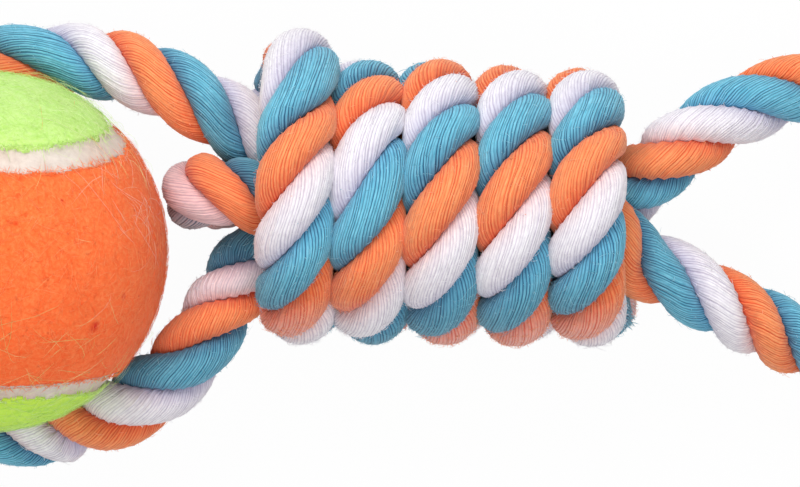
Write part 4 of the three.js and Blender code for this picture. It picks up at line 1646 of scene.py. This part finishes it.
# %% Frayed end of the rope
# Each tuft has a colour, a count, a root, a heading and a spread in degrees, and a length.
FRAYS = [
    ("white", 260, (35.2, -20.6, 14.0), -55, 40, 3.2),
    ("blue", 80, (38.9, -20.6, 14.2), -24, 7, 1.7),
]
FRAY_THICKNESS = (0.05, 0.11)
FRAY_LIMIT = 1.4
FRAY_DIPS = (-0.5, 0.35)
FRAY_LENGTHS = (0.6, 1.15)
FRAY_CURL = 0.25
FRAY_ROOT = 0.4
FRAY_TONES = (0.2, 1)
fray_rng = np.random.default_rng(seed=101)
fray_paths, fray_which = [], []
for number, (colour, count, root, heading, spread, length) in enumerate(FRAYS):
    turn = np.radians(heading + spread * fray_rng.normal(size=count).clip(-FRAY_LIMIT, FRAY_LIMIT))
    dip = fray_rng.uniform(*FRAY_DIPS, count)
    reach = length * fray_rng.uniform(*FRAY_LENGTHS, count)
    way = unit(np.stack([np.cos(turn), np.sin(turn), dip], axis=-1))
    curl = fray_rng.normal(scale=FRAY_CURL, size=(count, 3))
    begin = np.array(root) + fray_rng.normal(scale=FRAY_ROOT, size=(count, 3))
    shares = np.linspace(0, 1, PATH_POINTS)[None, :, None]
    bent = way[:, None] * shares + curl[:, None] * shares**2
    fray_paths.append(begin[:, None] + reach[:, None, None] * bent)
    fray_which.append(np.full(count, number))
fray_count = sum(len(p) for p in fray_paths)
frayed_end = fibre_piece("frayed_end", np.concatenate(fray_paths),
                         fray_rng.uniform(*FRAY_THICKNESS, fray_count),
                         [cotton_fibre[f[0]] for f in FRAYS], np.concatenate(fray_which),
                         fray_rng.uniform(*FRAY_TONES, fray_count))
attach(frayed_end, "knot")

# %% [markdown]
# The portrait is on pure white. More light would make the floor white, but it would bleach the toy
# too. So to the camera the floor is mostly a white glow of strength one, and to every other ray it
# is an ordinary pale floor, which still takes a faint shadow.

# %% Floor
FLOOR_SIZE = 6.0
FLOOR_GREY = 0.8
FLOOR_GLOW = 0.97


def seen_directly(tree):
    path = tree.nodes.new("ShaderNodeLightPath")
    seen = path.outputs["Is Camera Ray"]
    for other in ("Is Glossy Ray", "Is Transmission Ray"):
        node = tree.nodes.new("ShaderNodeMath")
        node.operation = "MAXIMUM"
        tree.links.new(seen, node.inputs[0])
        tree.links.new(path.outputs[other], node.inputs[1])
        seen = node.outputs[0]
    return seen


def white_floor():
    material, tree, shader = new_material("white_floor")
    shader.inputs["Base Color"].default_value = (FLOOR_GREY, FLOOR_GREY, FLOOR_GREY, 1)
    shader.inputs["Roughness"].default_value = 1.0
    glow = tree.nodes.new("ShaderNodeEmission")
    share = tree.nodes.new("ShaderNodeMath")
    share.operation = "MULTIPLY"
    share.inputs[1].default_value = FLOOR_GLOW
    tree.links.new(seen_directly(tree), share.inputs[0])
    mix = tree.nodes.new("ShaderNodeMixShader")
    tree.links.new(share.outputs[0], mix.inputs[0])
    tree.links.new(shader.outputs[0], mix.inputs[1])
    tree.links.new(glow.outputs[0], mix.inputs[2])
    tree.links.new(mix.outputs[0], tree.nodes["Material Output"].inputs["Surface"])
    return material


bpy.ops.object.select_all(action="DESELECT")
bpy.ops.mesh.primitive_plane_add(size=FLOOR_SIZE, location=(0, 0, 0))
floor = bpy.context.object
floor.name = "floor"
floor.data.materials.append(white_floor())
print("floor is", FLOOR_SIZE, "m wide")

# %% [markdown]
# The light is a plain studio's: an even sky, and two large soft lamps of nearly the same strength,
# one from the top of the picture, which rounds the strands, and one beside the camera, which fills
# their shadows. To the camera the sky is white too.

# %% Sky and lamps
SKY_LIGHT = 0.34
LAMP_AIM = (0, 0, 0.02)
sky = bpy.data.worlds.new("even_sky")
sky.use_nodes = True
bpy.context.scene.world = sky
sky_tree = sky.node_tree
background = sky_tree.nodes["Background"]
background.inputs["Color"].default_value = (1, 1, 1, 1)
sky_level = sky_tree.nodes.new("ShaderNodeMapRange")
sky_level.inputs["To Min"].default_value = SKY_LIGHT
sky_level.inputs["To Max"].default_value = 1.0
sky_tree.links.new(seen_directly(sky_tree), sky_level.inputs["Value"])
sky_tree.links.new(sky_level.outputs["Result"], background.inputs["Strength"])


def soft_lamp(name, place, size, watts):
    bpy.ops.object.light_add(type="AREA", location=place)
    lamp = bpy.context.object
    lamp.name = name
    lamp.data.size = size
    lamp.data.energy = watts
    aim = Vector(LAMP_AIM) - Vector(place)
    lamp.rotation_euler = aim.to_track_quat("-Z", "Y").to_euler()
    return lamp


lamps = [
    soft_lamp("lamp_top", (-0.15, 0.75, 0.75), size=0.7, watts=8.0),
    soft_lamp("lamp_fill", (0.1, -0.35, 1.25), size=0.9, watts=9.2),
]
print("lamps:", {lamp.name: round(lamp.data.energy, 1) for lamp in lamps})
